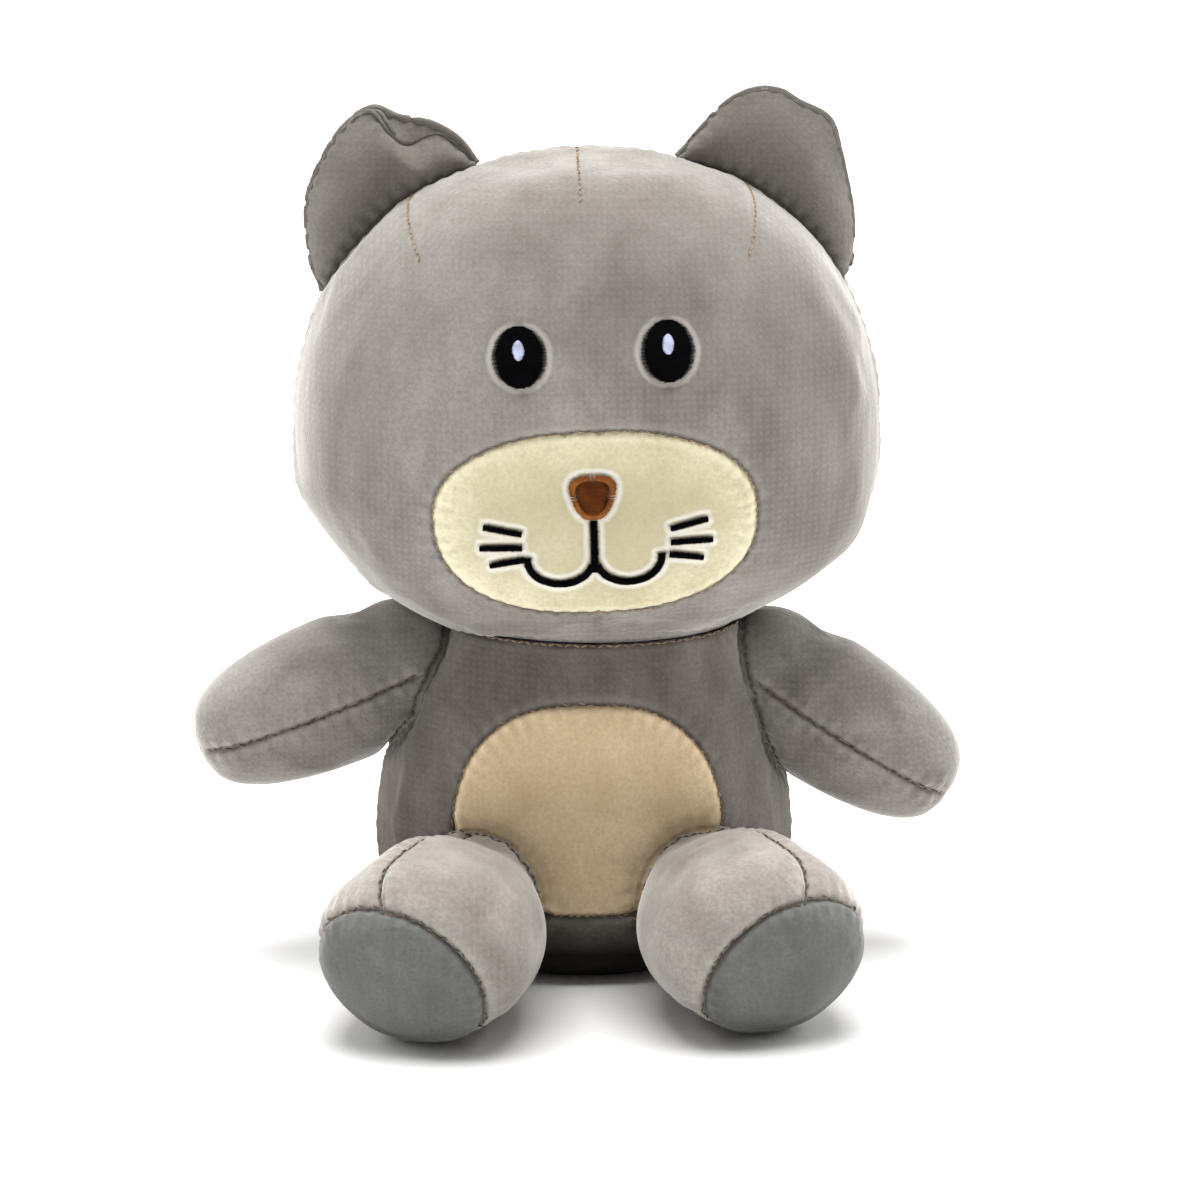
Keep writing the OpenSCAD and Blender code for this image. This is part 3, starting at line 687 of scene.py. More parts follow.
def set_down(points, matrix):
    """Points moved from a limb's own frame to the toy's."""
    m = np.array(matrix)
    return np.asarray(points) @ m[:3, :3].T + m[:3, 3]


def join_line(limb):
    """The closed line where a limb's skin comes out of the torso."""
    line = []
    for a in np.linspace(0, 2 * math.pi, 72):
        xs = np.arange(-15, 30, 0.75) * MM
        spots = set_down(limb_skin[limb](xs, a), limb_place[limb])
        near, out = snap(torso_tree, spots)
        above = ((spots - near) * out).sum(1) > 0
        line.append(spots[np.argmax(above)])
    return np.array(line)


# %% [markdown]
# ## Sewing lines of the torso
#
# The torso is filled first. The line where each limb comes out of it is then found, so that the skins of
# both sink along it, as they do where a limb is sewn on.

# %% Fill the torso and cut it into panels
stuff(torso_form, pressure=0.5, cap=1.8 * MM, spare=0.01)
refine(torso_form)
torso_tree = tree_of(torso_form)
joins = {limb: join_line(limb) for limb in limb_place}
torso_lines = {
    "belly": snap(torso_tree, np.concatenate([belly_rings[-1], belly_rings[-1][:1]]))[0],
    "left_side": snap(torso_tree, torso_point(0, np.linspace(2 * MM, NECK_TOP, 50)))[0],
    "right_side": snap(torso_tree, torso_point(180, np.linspace(2 * MM, NECK_TOP, 50)))[0],
    "back": snap(torso_tree, torso_point(90, np.linspace(2 * MM, NECK_TOP, 50)))[0],
    "neck": snap(torso_tree, torso_point(np.linspace(-180, 180, 150), NECK_TOP - 0.4 * MM))[0],
}
pull_in(torso_form, [torso_lines["belly"]], depth=0.9 * MM)
pull_in(torso_form, [torso_lines[k] for k in ("left_side", "right_side", "back")],
        depth=0.6 * MM, pucker=0.12 * MM)
pull_in(torso_form, [torso_lines["neck"]], depth=0.4 * MM)
# The join lines also take a seam's painted shade, darker where a limb meets the torso.
pull_in(torso_form, list(joins.values()), depth=1.6 * MM, width=3 * MM)
torso_pieces = split_panels(torso_form, {0: "belly_skin", 1: "torso_front_skin", 2: "torso_back_left_skin",
                                         3: "torso_back_right_skin"})
print("torso panels:", {n: len(p.data.polygons) for n, p in torso_pieces.items()})


# %% [markdown]
# ## Filling the limbs
#
# The rows of a leg end on the tilted ring of the sole, and the sole's rows go on over the foot's ball
# to the middle of the sole.

# %% Limb forms
LIMB_COLUMNS = 96
limb_angles = np.arange(LIMB_COLUMNS) * 2 * math.pi / LIMB_COLUMNS
half, quarter = LIMB_COLUMNS // 2, LIMB_COLUMNS // 4
SOLE_DOWN, SOLE_OUT, SOLE_WIDE = math.radians(27), math.radians(18), math.radians(60)


def root_xs(root):
    return -root * np.sin(np.radians([62, 50, 38, 26, 14]))


def tip_form(name, skin, length, root, panel_of):
    """An arm or tail: rings from its root to its tip."""
    xs = np.concatenate([root_xs(root), np.linspace(0, 0.86, 26) * length,
                         (0.86 + 0.14 * np.sin(np.linspace(0.08, 1, 12) * math.pi / 2)) * length])
    form = sew_rings(name, [(np.array([skin(x, limb_angles) for x in xs]), panel_of)])
    face_outward(form, np.array([length / 2, 0, 0]))
    return form


def on_foot(v):
    """The foot's skin along the direction v from the middle of its ball."""
    round_it = np.hypot(v[..., 1], v[..., 2] / LEG_SQUAT)
    gauge = (np.abs(v[..., 0]) / FOOT_LONG) ** 2.5 + round_it ** 2.5 / LEG_R ** 2.5
    return np.array([FOOT_X, 0, 0]) + v / gauge[..., None] ** (1 / 2.5)


def sole_ring(share):
    """The ring on the foot that is that share of the way from the sole's middle to its edge."""
    pole = np.array([math.cos(SOLE_DOWN) * math.cos(SOLE_OUT), math.cos(SOLE_DOWN) * math.sin(SOLE_OUT),
                     -math.sin(SOLE_DOWN)])
    side_way = np.array([-math.sin(SOLE_OUT), math.cos(SOLE_OUT), 0])
    up_way = np.cross(pole, side_way)
    a, wide = limb_angles[:, None], SOLE_WIDE * share
    return on_foot(pole * math.cos(wide) + math.sin(wide) * (side_way * np.cos(a) + up_way * np.sin(a)))


def leg_form(name):
    edge = sole_ring(1.0)
    edge_turn = np.unwrap(np.arctan2(edge[:, 2] / LEG_SQUAT, edge[:, 1]))
    rows = [leg_at(x, limb_angles) for x in root_xs(LEG_ROOT)]
    for t in spaced(34, False, True):
        rows.append(leg_at(edge[:, 0] * t, limb_angles * (1 - t) + edge_turn * t))
    rows[-1] = edge
    form = sew_rings(name, [
        (np.array(rows), lambda i, j: 0 if j < quarter or j >= 3 * quarter else 1),
        (np.array([sole_ring(s) for s in spaced(18, False, True)[::-1]]), lambda i, j: 2)])
    face_outward(form, np.array([FOOT_X, 0, 0]))
    return form, np.array(rows)


def finish_limb(limb, form, panel_names, lines, depth):
    """Fills a limb, sets it on the torso, pulls in its seams, and cuts its panels."""
    stuff(form, pressure=1, cap=1.5 * MM, spare=0.02)
    refine(form)
    matrix = limb_place[limb]
    form.data.transform(matrix)
    if matrix.determinant() < 0:
        form.data.flip_normals()
    form.data.update()
    tree = tree_of(form)
    placed = {key: snap(tree, set_down(line, matrix))[0] for key, line in lines.items()}
    pull_in(form, list(placed.values()), depth=depth)
    # The join line also takes a seam's painted shade on the limb's skin.
    pull_in(form, [joins[limb]], depth=0.8 * MM, width=2.4 * MM)
    limb_lines[limb] = placed
    limb_pieces[limb] = split_panels(form, {k: f"{limb}_{n}" for k, n in panel_names.items()})


# %% Fill and place the limbs
limb_pieces, limb_lines = {}, {}
arm_xs, tail_xs = np.linspace(0, 0.985, 60) * ARM_LEN, np.linspace(0, 0.98, 50) * TAIL_LEN
for side_name in ("left", "right"):
    form = tip_form(f"{side_name}_arm_form", arm_at, ARM_LEN, ARM_ROOT, lambda i, j: 0 if j < half else 1)
    finish_limb(f"{side_name}_arm", form, {0: "upper_skin", 1: "lower_skin"},
                {"front": arm_at(arm_xs, math.pi), "back": arm_at(arm_xs, 0.0)}, 1.1 * MM)
    form, leg_rows = leg_form(f"{side_name}_leg_form")
    finish_limb(f"{side_name}_leg", form, {0: "outer_skin", 1: "inner_skin", 2: "sole_skin"},
                {"sole": np.concatenate([leg_rows[-1], leg_rows[-1][:1]]), "top": leg_rows[5:, quarter],
                 "under": leg_rows[5:, 3 * quarter]}, 1.2 * MM)
form = tip_form("tail_form", tail_at, TAIL_LEN, TAIL_R,
                lambda i, j: 0 if j < quarter or j >= 3 * quarter else 1)
finish_limb("tail", form, {0: "right_skin", 1: "left_skin"},
            {"top": tail_at(tail_xs, math.pi / 2), "under": tail_at(tail_xs, -math.pi / 2)}, 0.8 * MM)
print("limb panels:", sum(len(p) for p in limb_pieces.values()))


# %% [markdown]
# ## The ears
#
# An ear is two layers of the fabric, sewn round the edge, turned, and caught in the crown seam. Its
# outline is given by a few knots in the plane of that seam, outward and up in millimetres. One ear was
# pinched while it was sewn: its front layer dips at the top, and the back layer rolls over behind it.

# %% Ear skins
ear_knots = {
    "left": [(26, 226), (32.5, 234), (40, 241.5), (48, 245), (55, 244.5), (60, 241.5), (68.5, 237),
             (71.5, 229), (75.5, 212), (75.5, 198), (72, 189)],
    "right": [(29.5, 224.5), (34, 231), (40, 235), (45.5, 236.8), (52, 237.5), (58.5, 240), (64.5, 237),
              (71, 229), (77.5, 214), (76.5, 198), (73, 189)],
}
folded_front = [(29.5, 224.5), (35, 229), (40, 232.5), (44.5, 231.5), (49, 229.5), (53, 232.5), (58, 239.3),
                (64.5, 237), (71, 229), (77.5, 214), (76.5, 198), (73, 189)]


def smooth_line(knots, count):
    """A rounded line through the knots, as count points evenly spaced."""
    k = np.array(knots, float) * MM
    k = np.concatenate([2 * k[:1] - k[1:2], k, 2 * k[-1:] - k[-2:-1]])
    t = np.linspace(0, 1, 12, endpoint=False)[:, None]
    parts = []
    for a, b, c, d in zip(k[:-3], k[1:-2], k[2:-1], k[3:]):
        square, cube = 2 * a - 5 * b + 4 * c - d, 3 * b - a - 3 * c + d
        parts.append(0.5 * (2 * b + (c - a) * t + square * t ** 2 + cube * t ** 3))
    line = np.concatenate(parts + [k[-2:-1]])
    return resample(np.stack([line[:, 0], 0 * line[:, 0], line[:, 1]], 1), count=count)[0]


EAR_COLUMNS = 72


def ear_grid(side_name, facing):
    """Rows of one layer from the head's seam up to the rim, facing -1 for the front."""
    sign = 1 if side_name == "left" else -1
    back_rim = smooth_line(ear_knots[side_name], EAR_COLUMNS)
    folded = side_name == "right"
    front_rim = smooth_line(folded_front, EAR_COLUMNS) if folded else back_rim.copy()
    s = np.linspace(0, 1, EAR_COLUMNS)
    dip = np.exp(-((s - 0.31) / 0.075) ** 2) if folded else 0 * s
    front_rim[:, 1] -= 0.35 * MM + 2.6 * MM * dip
    back_rim[:, 1] += 0.35 * MM + 2.8 * MM * dip
    rim = front_rim if facing < 0 else back_rim
    ends = upright(np.array([[sign * back_rim[k, 0], 0, back_rim[k, 2]] for k in (0, -1)])) - head_mid
    turn_in, turn_out = np.arctan2(ends[:, 0], ends[:, 2])
    turns = turn_in + (turn_out - turn_in) * s
    foot = lean(on_head(head_mid + 0.06 * np.stack([np.sin(turns), 0 * turns, np.cos(turns)], -1)))
    inward = lean(head_mid) - foot
    foot = foot + inward / np.linalg.norm(inward, axis=1, keepdims=True) * 2.5 * MM
    foot[:, 0] *= sign
    crease_at, crease_wide, crease_deep = (0.33, 0.07, 3.8) if folded else (0.56, 0.06, 1.4)
    rows = []
    for t in spaced(34, False, True):
        q = foot * (1 - t) + rim * t
        full = np.clip(np.sin(s * math.pi), 0, 1) ** 0.6 * (1 - t ** 4) * (0.42 + 1.5 * t * (1 - t) ** 0.8)
        q[:, 1] += facing * 9.5 * MM * full
        crease = np.exp(-((s - crease_at) / crease_wide) ** 2)
        q[:, 1] -= facing * crease * smooth_step(np.array(t), 0.35, 0.9) * (1 - t ** 8) * crease_deep * MM
        q[:, 1] -= facing * 1.6 * MM * np.exp(-((s - 0.5) / 0.22) ** 2) * math.exp(-((t - 0.2) / 0.16) ** 2)
        rows.append(q)
    if facing > 0:
        middle = (back_rim + front_rim) / 2 - np.outer(0.2 * MM + 2.5 * MM * dip, [0, 0, 1])
        for t in (0.33, 0.66, 1.0):
            rows.append(back_rim * (1 - t) ** 2 + 2 * middle * t * (1 - t) + front_rim * t * t)
    grid = np.array(rows)
    grid[..., 0] *= sign
    return grid


def ear_skin(name, side_name, facing):
    grid = ear_grid(side_name, facing)
    rows, columns = grid.shape[:2]
    piece = new_piece(name, grid.reshape(-1, 3), grid_faces(rows, columns, closed=False))
    face_outward(piece, grid.mean((0, 1)) - [0, facing * 20 * MM, 0])
    refine(piece)
    pull_in(piece, [grid[33]], depth=0.35 * MM, width=1.2 * MM, pucker=0.25 * MM, reach=3.5 * MM, shade=False)
    pull_in(piece, [grid[3]], depth=1.2 * MM, width=2.4 * MM)
    smooth_faces(piece)
    return piece, grid


ear_pieces, ear_grids = {}, {}
for side_name in ("left", "right"):
    for layer, facing in (("front", -1), ("back", 1)):
        name = f"{side_name}_ear_{layer}_skin"
        ear_pieces[name], ear_grids[name] = ear_skin(name, side_name, facing)
print("ear skins:", list(ear_pieces))


# %% [markdown]
# ## The seat
#
# The seat is a flat disc of the same fabric. Only its front edge shows, between the legs, so it starts
# as a circle, is filled with rings by inset, and its rim is rolled up to meet the side panels.

# %% Seat skin
select_nothing()
bpy.ops.mesh.primitive_circle_add(vertices=128, radius=seat_r + 0.5 * MM, fill_type="NGON",
                                  location=(0, 0, 0.15 * MM))
seat = bpy.context.object
seat.name = "seat_skin"
bpy.ops.object.mode_set(mode="EDIT")
bpy.ops.mesh.select_all(action="SELECT")
for inset in (1, 1.5, 3, 6, 9):
    bpy.ops.mesh.inset(thickness=inset * MM)
bpy.ops.object.mode_set(mode="OBJECT")
bpy.ops.object.transform_apply(location=True, rotation=True, scale=True)
co = points_of(seat.data)
edge = np.linalg.norm(co[:, :2], axis=1)
co[:, 2] += smooth_step(edge, seat_r - 1.5 * MM, seat_r + 0.5 * MM) * 1.8 * MM
move_points(seat.data, co)
smooth_faces(seat)
seat.data.flip_normals()
print("seat radius, mm:", round(seat_r / MM, 1))


# %% [markdown]
# ## Stitches
#
# One stitch is a short arch of thread. It is modelled once, from a ball that is drawn out and bent, and
# then copied along every seam at the machine's pitch, half sunk in the pile.

# %% One stitch, and a seam of them
select_nothing()
bpy.ops.mesh.primitive_uv_sphere_add(segments=8, ring_count=6, radius=1)
stitch = bpy.context.object
stitch.name = "one_stitch"
bpy.ops.object.mode_set(mode="EDIT")
bpy.ops.mesh.select_all(action="SELECT")
bpy.ops.transform.rotate(value=math.pi / 2, orient_axis="Y", center_override=(0, 0, 0))
bpy.ops.transform.resize(value=(1.0 * MM, 0.27 * MM, 0.24 * MM))
bpy.ops.object.mode_set(mode="OBJECT")
stitch_co = points_of(stitch.data)
stitch_co[:, 2] -= 0.35 * MM * (stitch_co[:, 0] / MM) ** 2
stitch_faces = [tuple(p.vertices) for p in stitch.data.polygons]
bpy.data.objects.remove(stitch)


def stitch_seam(name, lines, tree, lift=0.25 * MM):
    """Copies the stitch along lines on a surface, turned a little left and right by turns."""
    parts, faces, base = [], [], 0
    rng = np.random.default_rng(sum(map(ord, name)))
    for line in lines:
        placed, normals = snap(tree, resample(line, STITCH_PITCH)[0])
        for k in range(len(placed) - 1):
            way = placed[min(k + 1, len(placed) - 1)] - placed[max(k - 1, 0)]
            n = normals[k]
            way = way - n * (way @ n)
            way /= max(np.linalg.norm(way), 1e-9)
            turn = math.radians((18 if k % 2 else -18) + rng.normal(0, 5))
            across = np.cross(n, way)
            ahead = way * math.cos(turn) + across * math.sin(turn)
            across = np.cross(n, ahead)
            shape = stitch_co * rng.uniform(0.9, 1.05)
            parts.append(placed[k] + n * lift + shape @ np.array([ahead, across, n]))
            faces += [tuple(base + i for i in f) for f in stitch_faces]
            base += len(stitch_co)
    piece = new_piece(name, np.concatenate(parts), faces)
    smooth_faces(piece)
    return piece


head_skin_tree = tree_of(*head_pieces.values())
torso_skin_tree = tree_of(*torso_pieces.values())
limb_trees = {limb: tree_of(*pieces.values()) for limb, pieces in limb_pieces.items()}
stitches = {}


def sew(owner, lines, tree, **settings):
    stitches[f"{owner}_stitches"] = (stitch_seam(f"{owner}_stitches", lines, tree, **settings), owner)


sew("head", [head_lines[k] for k in (
    "muzzle", "crown", "middle_dart", "left_dart", "right_dart", "chin_dart", "back")], head_skin_tree)
sew("torso", [torso_lines[k] for k in ("belly", "left_side", "right_side", "back")], torso_skin_tree)
sew("neck", [torso_lines["neck"]], torso_skin_tree, lift=0.3 * MM)
for limb, lines in limb_lines.items():
    sew(limb, [*lines.values(), joins[limb]], limb_trees[limb])
print("stitched seams:", list(stitches))


# %% [markdown]
# ## Embroidery
#
# The eyes, nose, mouth and whiskers are satin stitch: many threads laid side by side across the shape,
# each raised in the middle. Each thread is a thin tube with closed ends. They are laid across an outline
# row by row, with small differences in length, which gives the slightly toothed edge of real satin.

# %% Threads on the face
THREAD = 0.24 * MM
THREAD_PITCH = 0.36 * MM
SIDES = 6


def face_hits(x, z):
    """Where points of the upright face frame land on the filled head, and the normals there."""
    start = lean(np.stack([x, -0.2 + 0 * x, z], -1))
    ahead = lean(np.array([0, 1.0, 0])) - lean(np.array([0, 0.0, 0]))
    hits = [head_skin_tree.ray_cast(Vector(p), Vector(ahead)) for p in start]
    return np.array([h[0][:] for h in hits]), np.array([h[1][:] for h in hits])


def smoothed(values):
    for _ in range(2):
        values = np.concatenate([values[:1], (values[:-2] + 2 * values[1:-1] + values[2:]) / 4, values[-1:]])
    return values


def lay_threads(name, rows, height, stations=7, radius=THREAD, base_lift=0.15 * MM):
    """rows holds pairs of ends ((x, z), (x, z)) on the face; height is how far the middle is raised."""
    parts, faces, base = [], [], 0
    share = np.linspace(0, 1, stations)
    circle = np.arange(SIDES) * 2 * math.pi / SIDES
    for (x0, z0), (x1, z1) in rows:
        spots, n = face_hits(x0 + (x1 - x0) * share, z0 + (z1 - z0) * share)
        spots, n = smoothed(spots), smoothed(n)
        n /= np.linalg.norm(n, axis=1, keepdims=True)
        spots = spots + n * (height * np.sin(share * math.pi) ** 0.55)[:, None] + n * base_lift
        way = np.gradient(spots, axis=0)
        way /= np.linalg.norm(way, axis=1, keepdims=True)
        across = np.cross(way, n)
        across /= np.linalg.norm(across, axis=1, keepdims=True)
        up = np.cross(across, way)
        thin = np.where((share == 0) | (share == 1), 0.35, 1.0) * radius
        round_it = np.cos(circle)[:, None] * across[:, None] + np.sin(circle)[:, None] * up[:, None]
        parts.append((spots[:, None] + thin[:, None, None] * round_it).reshape(-1, 3))
        faces += grid_faces(stations, SIDES, base)
        base += stations * SIDES
        faces.append(tuple(range(base - stations * SIDES, base - (stations - 1) * SIDES))[::-1])
        faces.append(tuple(range(base - SIDES, base)))
    piece = new_piece(name, np.concatenate(parts), faces)
    smooth_faces(piece)
    clean(piece.data, merge=False)
    return piece


thread_rng = np.random.default_rng(7)


def oval_rows(x, z, w, h, tooth=0.22 * MM):
    """Threads that cross an oval, from its top to its bottom."""
    rows = []
    for k in np.arange(-h / 2 + THREAD_PITCH / 2, h / 2, THREAD_PITCH):
        half = w / 2 * math.sqrt(max(0.02, 1 - (2 * k / h) ** 2))
        l, r = half + thread_rng.uniform(-tooth, tooth, 2)
        rows.append(((x - l, z + k), (x + r, z + k)))
    return rows


def line_rows(route, width, tooth=0.1 * MM):
    """Threads across a line, given as points (x, z)."""
    line, _ = resample(np.array([(x, z, 0) for x, z in route]), THREAD_PITCH)
    rows = []
    for k in range(len(line)):
        way = line[min(k + 1, len(line) - 1)] - line[max(k - 1, 0)]
        way /= np.linalg.norm(way)
        side_way = np.array([-way[1], way[0]])
        l, r = width / 2 + thread_rng.uniform(-tooth, tooth, 2)
        rows.append((tuple(line[k, :2] - side_way * l), tuple(line[k, :2] + side_way * r)))
    return rows


EYE_X, EYE_Z, EYE_W, EYE_H = 19.7 * MM, 179 * MM, 14.4 * MM, 16 * MM
NOSE_Z, MOUTH_X, MOUTH_Z = 141.5 * MM, -0.6 * MM, 117.2 * MM
embroidery = {}


def embroider(name, cad_node, slot_name, rows, height, **settings):
    embroidery[name] = (lay_threads(name, rows, height, **settings), cad_node, slot_name)


for side_name, sign in (("left", 1), ("right", -1)):
    rows = oval_rows(sign * EYE_X + 1.1 * MM, EYE_Z, EYE_W, EYE_H)
    embroider(f"{side_name}_eye_threads", f"{side_name}_eye", "black_thread", rows, 0.9 * MM, stations=9)
highlight_rows = [row for sign in (1, -1) for row in oval_rows(
    sign * EYE_X + 1 * MM, EYE_Z + 1.6 * MM, 3.3 * MM, 5 * MM, 0.1 * MM)]
embroider("eye_highlight_threads", "eye_highlights", "pale_thread", highlight_rows, 0.5 * MM, stations=5,
          base_lift=1.05 * MM)


def nose_outline(a, s=1.0):
    """A triangle on its point with full corners."""
    x, z = 7.6 * MM * signed_power(math.cos(a), 0.75), 6.2 * MM * signed_power(math.sin(a), 0.75)
    narrow = 1 - 0.45 * (1 - z / (6.2 * MM)) / 2
    return MOUTH_X + x * narrow * s, NOSE_Z + z * s


nose_fill_rows = []
fill_angles = np.linspace(0, 2 * math.pi, 200)
fill_outline = np.array([nose_outline(a, 0.74) for a in fill_angles])
for z in np.arange(fill_outline[:, 1].min() + 0.2 * MM, fill_outline[:, 1].max() - 0.1 * MM, THREAD_PITCH):
    near = fill_outline[np.abs(fill_outline[:, 1] - z) < 0.25 * MM]
    if len(near) > 1:
        nose_fill_rows.append(((near[:, 0].min(), z), (near[:, 0].max(), z)))
embroider("nose_fill_threads", "nose_fill", "dark_brown_thread", nose_fill_rows, 0.6 * MM)
border_rows = []
for a in np.linspace(0, 2 * math.pi, 97)[:-1]:
    border_rows.append((nose_outline(a, 0.70), nose_outline(a, 1.0 + thread_rng.uniform(-0.02, 0.02))))
embroider("nose_border_threads", "nose_border", "brown_thread", border_rows, 0.7 * MM, stations=5,
          radius=0.26 * MM)
mouth_rows = line_rows([(MOUTH_X, NOSE_Z - 6.4 * MM), (MOUTH_X, MOUTH_Z + 3.6 * MM)], 2.3 * MM)
for sign in (1, -1):
    turns = np.radians(np.linspace(-166, 6, 30))
    curve_x = MOUTH_X + sign * (9.2 + 8.8 * np.cos(turns)) * MM
    curve_z = MOUTH_Z + (7.2 + 7.2 * np.sin(turns)) * MM
    mouth_rows += line_rows(list(zip(curve_x, curve_z)), 2.2 * MM)
embroider("mouth_threads", "mouth_stitching", "black_thread", mouth_rows, 0.55 * MM, stations=5)
whisker_rows = []
for sign in (1, -1):
    for x, z, slope, length in ((20, 131.8, 12, 10), (20, 128, 0, 11), (19.6, 124.6, -10, 9)):
        slope = math.radians(slope)
        end = (sign * (x + length * math.cos(slope)) * MM, (z + length * math.sin(slope)) * MM)
        whisker_rows += line_rows([(sign * x * MM, z * MM), end], 1.9 * MM)
embroider("whisker_threads", "whisker_stitching", "black_thread", whisker_rows, 0.5 * MM, stations=5)
print("threads:", {n: len(p[0].data.polygons) for n, p in embroidery.items()})


# %% [markdown]
# Round the embroidery the pile is pressed down and parted, and shows as a pale line. Each skin point near
# a thread keeps its distance to it, which the fabric's colour reads, and the skin sinks a little there.

# %% Parted pile round the embroidery
def mark_parted_pile(skin, threads):
    spots = np.concatenate([points_of(t.data)[::5] for t in threads])
    tree = search_points(spots)
    co, n = points_of(skin.data), normals_of(skin.data)
    far = np.array([tree.find(c)[2] for c in co])
    move_points(skin.data, co - n * (0.5 * MM * np.exp(-(far / (1.6 * MM)) ** 2))[:, None])
    keep = skin.data.attributes.new("parted_mm", "FLOAT", "POINT")
    keep.data.foreach_set("value", np.minimum(far / MM, 20).astype(np.float32))


for skin_name, thread_names in (
        ("head_front_skin", ("left_eye_threads", "right_eye_threads")),
        ("muzzle_skin", ("nose_border_threads", "mouth_threads", "whisker_threads"))):
    mark_parted_pile(head_pieces[skin_name], [embroidery[k][0] for k in thread_names])


# %% [markdown]
# ## The filling, the pellet bag and the rest inside
#
# The filling is loose fibre pressed into each form, so its surface is lumpy. Each CAD filling is copied,
# remeshed finely and pushed in and out by noise. The bag is a sewn disc, and the label is a folded ribbon.

# %% Lumpy filling
LUMPS, CLEAR = 0.8 * MM, 1.8 * MM


def filling(cad_node, name, skins):
    """A lumpy copy of a CAD filling, kept clear of the skins that hold it."""
    mesh = frame["nodes"][cad_node].data.copy()
    mesh.name = name
    mesh.materials.clear()
    piece = linked(name, mesh)
    clean(mesh, turn=False)
    apply_modifier(piece, "REMESH", mode="VOXEL", voxel_size=(1.2 if name == "neck_fibre" else 3.5) * MM)
    apply_modifier(piece, "SMOOTH", iterations=3)
    co, n = points_of(piece.data), normals_of(piece.data)
    wave = sum(np.sin(co @ (np.array(k) / (9 * MM)) + p) for k, p in (
        ((1, .3, .2), 0), ((-.2, 1, .4), 1), ((.3, -.4, 1), 2), ((1.7, 1.1, -.6), 3)))
    co = co + n * (wave * LUMPS / 4 - LUMPS)[:, None]
    near, out = snap(skins, co)
    deep = ((co - near) * out).sum(1)
    co = np.where((deep > -CLEAR)[:, None], near - out * CLEAR, co)
    if name == "head_fibre":
        co[:, 2] = np.maximum(co[:, 2], NECK_TOP + 3 * MM)
    if name == "neck_fibre":
        co = neck_mid + (points_of(piece.data) - neck_mid) * [0.9, 0.9, 1]
    move_points(piece.data, co)
    smooth_faces(piece)
    return piece


fillings = {}
skin_trees = {"head": head_skin_tree, "torso": torso_skin_tree, "neck": torso_skin_tree, **limb_trees}
for cad_node in [n for n in frame["nodes"] if n.endswith("_stuffing")]:
    owner = cad_node.replace("_stuffing", "")
    fillings[owner] = filling(cad_node, f"{owner}_fibre", skin_trees[owner])
print("fillings:", len(fillings))

# %% Pellet bag and label
bag_low, bag_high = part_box("pellet_bag")
select_nothing()
bag_wide, bag_tall = bag_high.x - bag_low.x, bag_high.z - bag_low.z
bpy.ops.mesh.primitive_cylinder_add(vertices=72, radius=bag_wide / 2 - 0.3 * MM, depth=bag_tall - 0.4 * MM,
                                    location=(bag_low + bag_high) / 2)
bag = bpy.context.object
bag.name = "pellet_bag_cloth"
bpy.ops.object.mode_set(mode="EDIT")
bpy.ops.mesh.select_all(action="SELECT")
bpy.ops.mesh.select_mode(type="EDGE")
bpy.ops.mesh.bevel(offset=3 * MM, segments=5)
bpy.ops.object.mode_set(mode="OBJECT")
bpy.ops.object.transform_apply(location=True, rotation=True, scale=True)
smooth_faces(bag)
label_low, label_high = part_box("sewn_in_label")
bpy.ops.mesh.primitive_plane_add(size=1, location=(0, 0, 0))
label = bpy.context.object
label.name = "blank_label"
bpy.ops.object.mode_set(mode="EDIT")
bpy.ops.mesh.select_all(action="SELECT")
bpy.ops.mesh.subdivide(number_cuts=20)
bpy.ops.object.mode_set(mode="OBJECT")
co = points_of(label.data)
u, v = co[:, 0] + 0.5, co[:, 1] + 0.5
depth_y, height_z = label_high.y - label_low.y, label_high.z - label_low.z
fold = np.abs(u - 0.5) * 2
side_x = np.where(u < 0.5, -1, 1) * 0.45 * MM * np.sqrt(np.clip(1 - (1 - fold) ** 8, 0, 1))
across = side_x + 0.9 * MM * np.sin(v * 4 + 1) * (1 - fold)
outward = label_high.y - 0.2 * MM - fold * (depth_y + 1 * MM)
move_points(label.data, np.stack([across, outward, label_low.z + v * height_z], -1))
apply_modifier(label, "SOLIDIFY", thickness=0.15 * MM)
smooth_faces(label)
print("label, mm:", [round(c / MM, 1) for c in label.dimensions])


# %% [markdown]
# ## Fabric and thread
#
# Velboa is a knit with a short brushed pile. From near it shows a fine speckle of fibre ends and faint
# knit ribs; from further off, pale and dark patches where it was stroked; and at a grazing angle the
# fibre ends catch the light, which the sheen gives. Along seams the pile is pressed into the groove,
# which is painted darker as shade, and stands up pale beside it. The middle of each panel is painted a
# little darker too, as shade on the pile, and where a finish asks for it the pile low down is painted
# near black, as shade near the floor.

# %% Material helpers
def connect(tree, socket, value):
    """Links an output to a socket, or sets the socket to a plain value or colour."""
    if isinstance(value, bpy.types.NodeSocket):
        tree.links.new(value, socket)
    else:
        socket.default_value = (*value, 1) if socket.type == "RGBA" else value


def node(tree, kind, inputs=None, **settings):
    made = tree.nodes.new(kind)
    for key, value in settings.items():
        setattr(made, key, value)
    for key, value in (inputs or {}).items():
        connect(tree, made.inputs[key], value)
    return made


def new_material(name):
    """A material, its node tree, and the object coordinates in it."""
    material = bpy.data.materials.new(name)
    material.use_nodes = True
    tree = material.node_tree
    return material, tree, node(tree, "ShaderNodeTexCoord").outputs["Object"]


def set_shader(tree, values):
    for key, value in values.items():
        connect(tree, tree.nodes["Principled BSDF"].inputs[key], value)


def ramp(tree, value, low, high, out_low, out_high):
    """A number mapped from one range to another, held at its ends."""
    return node(tree, "ShaderNodeMapRange", {0: value, 1: low, 2: high, 3: out_low, 4: out_high}).outputs[0]


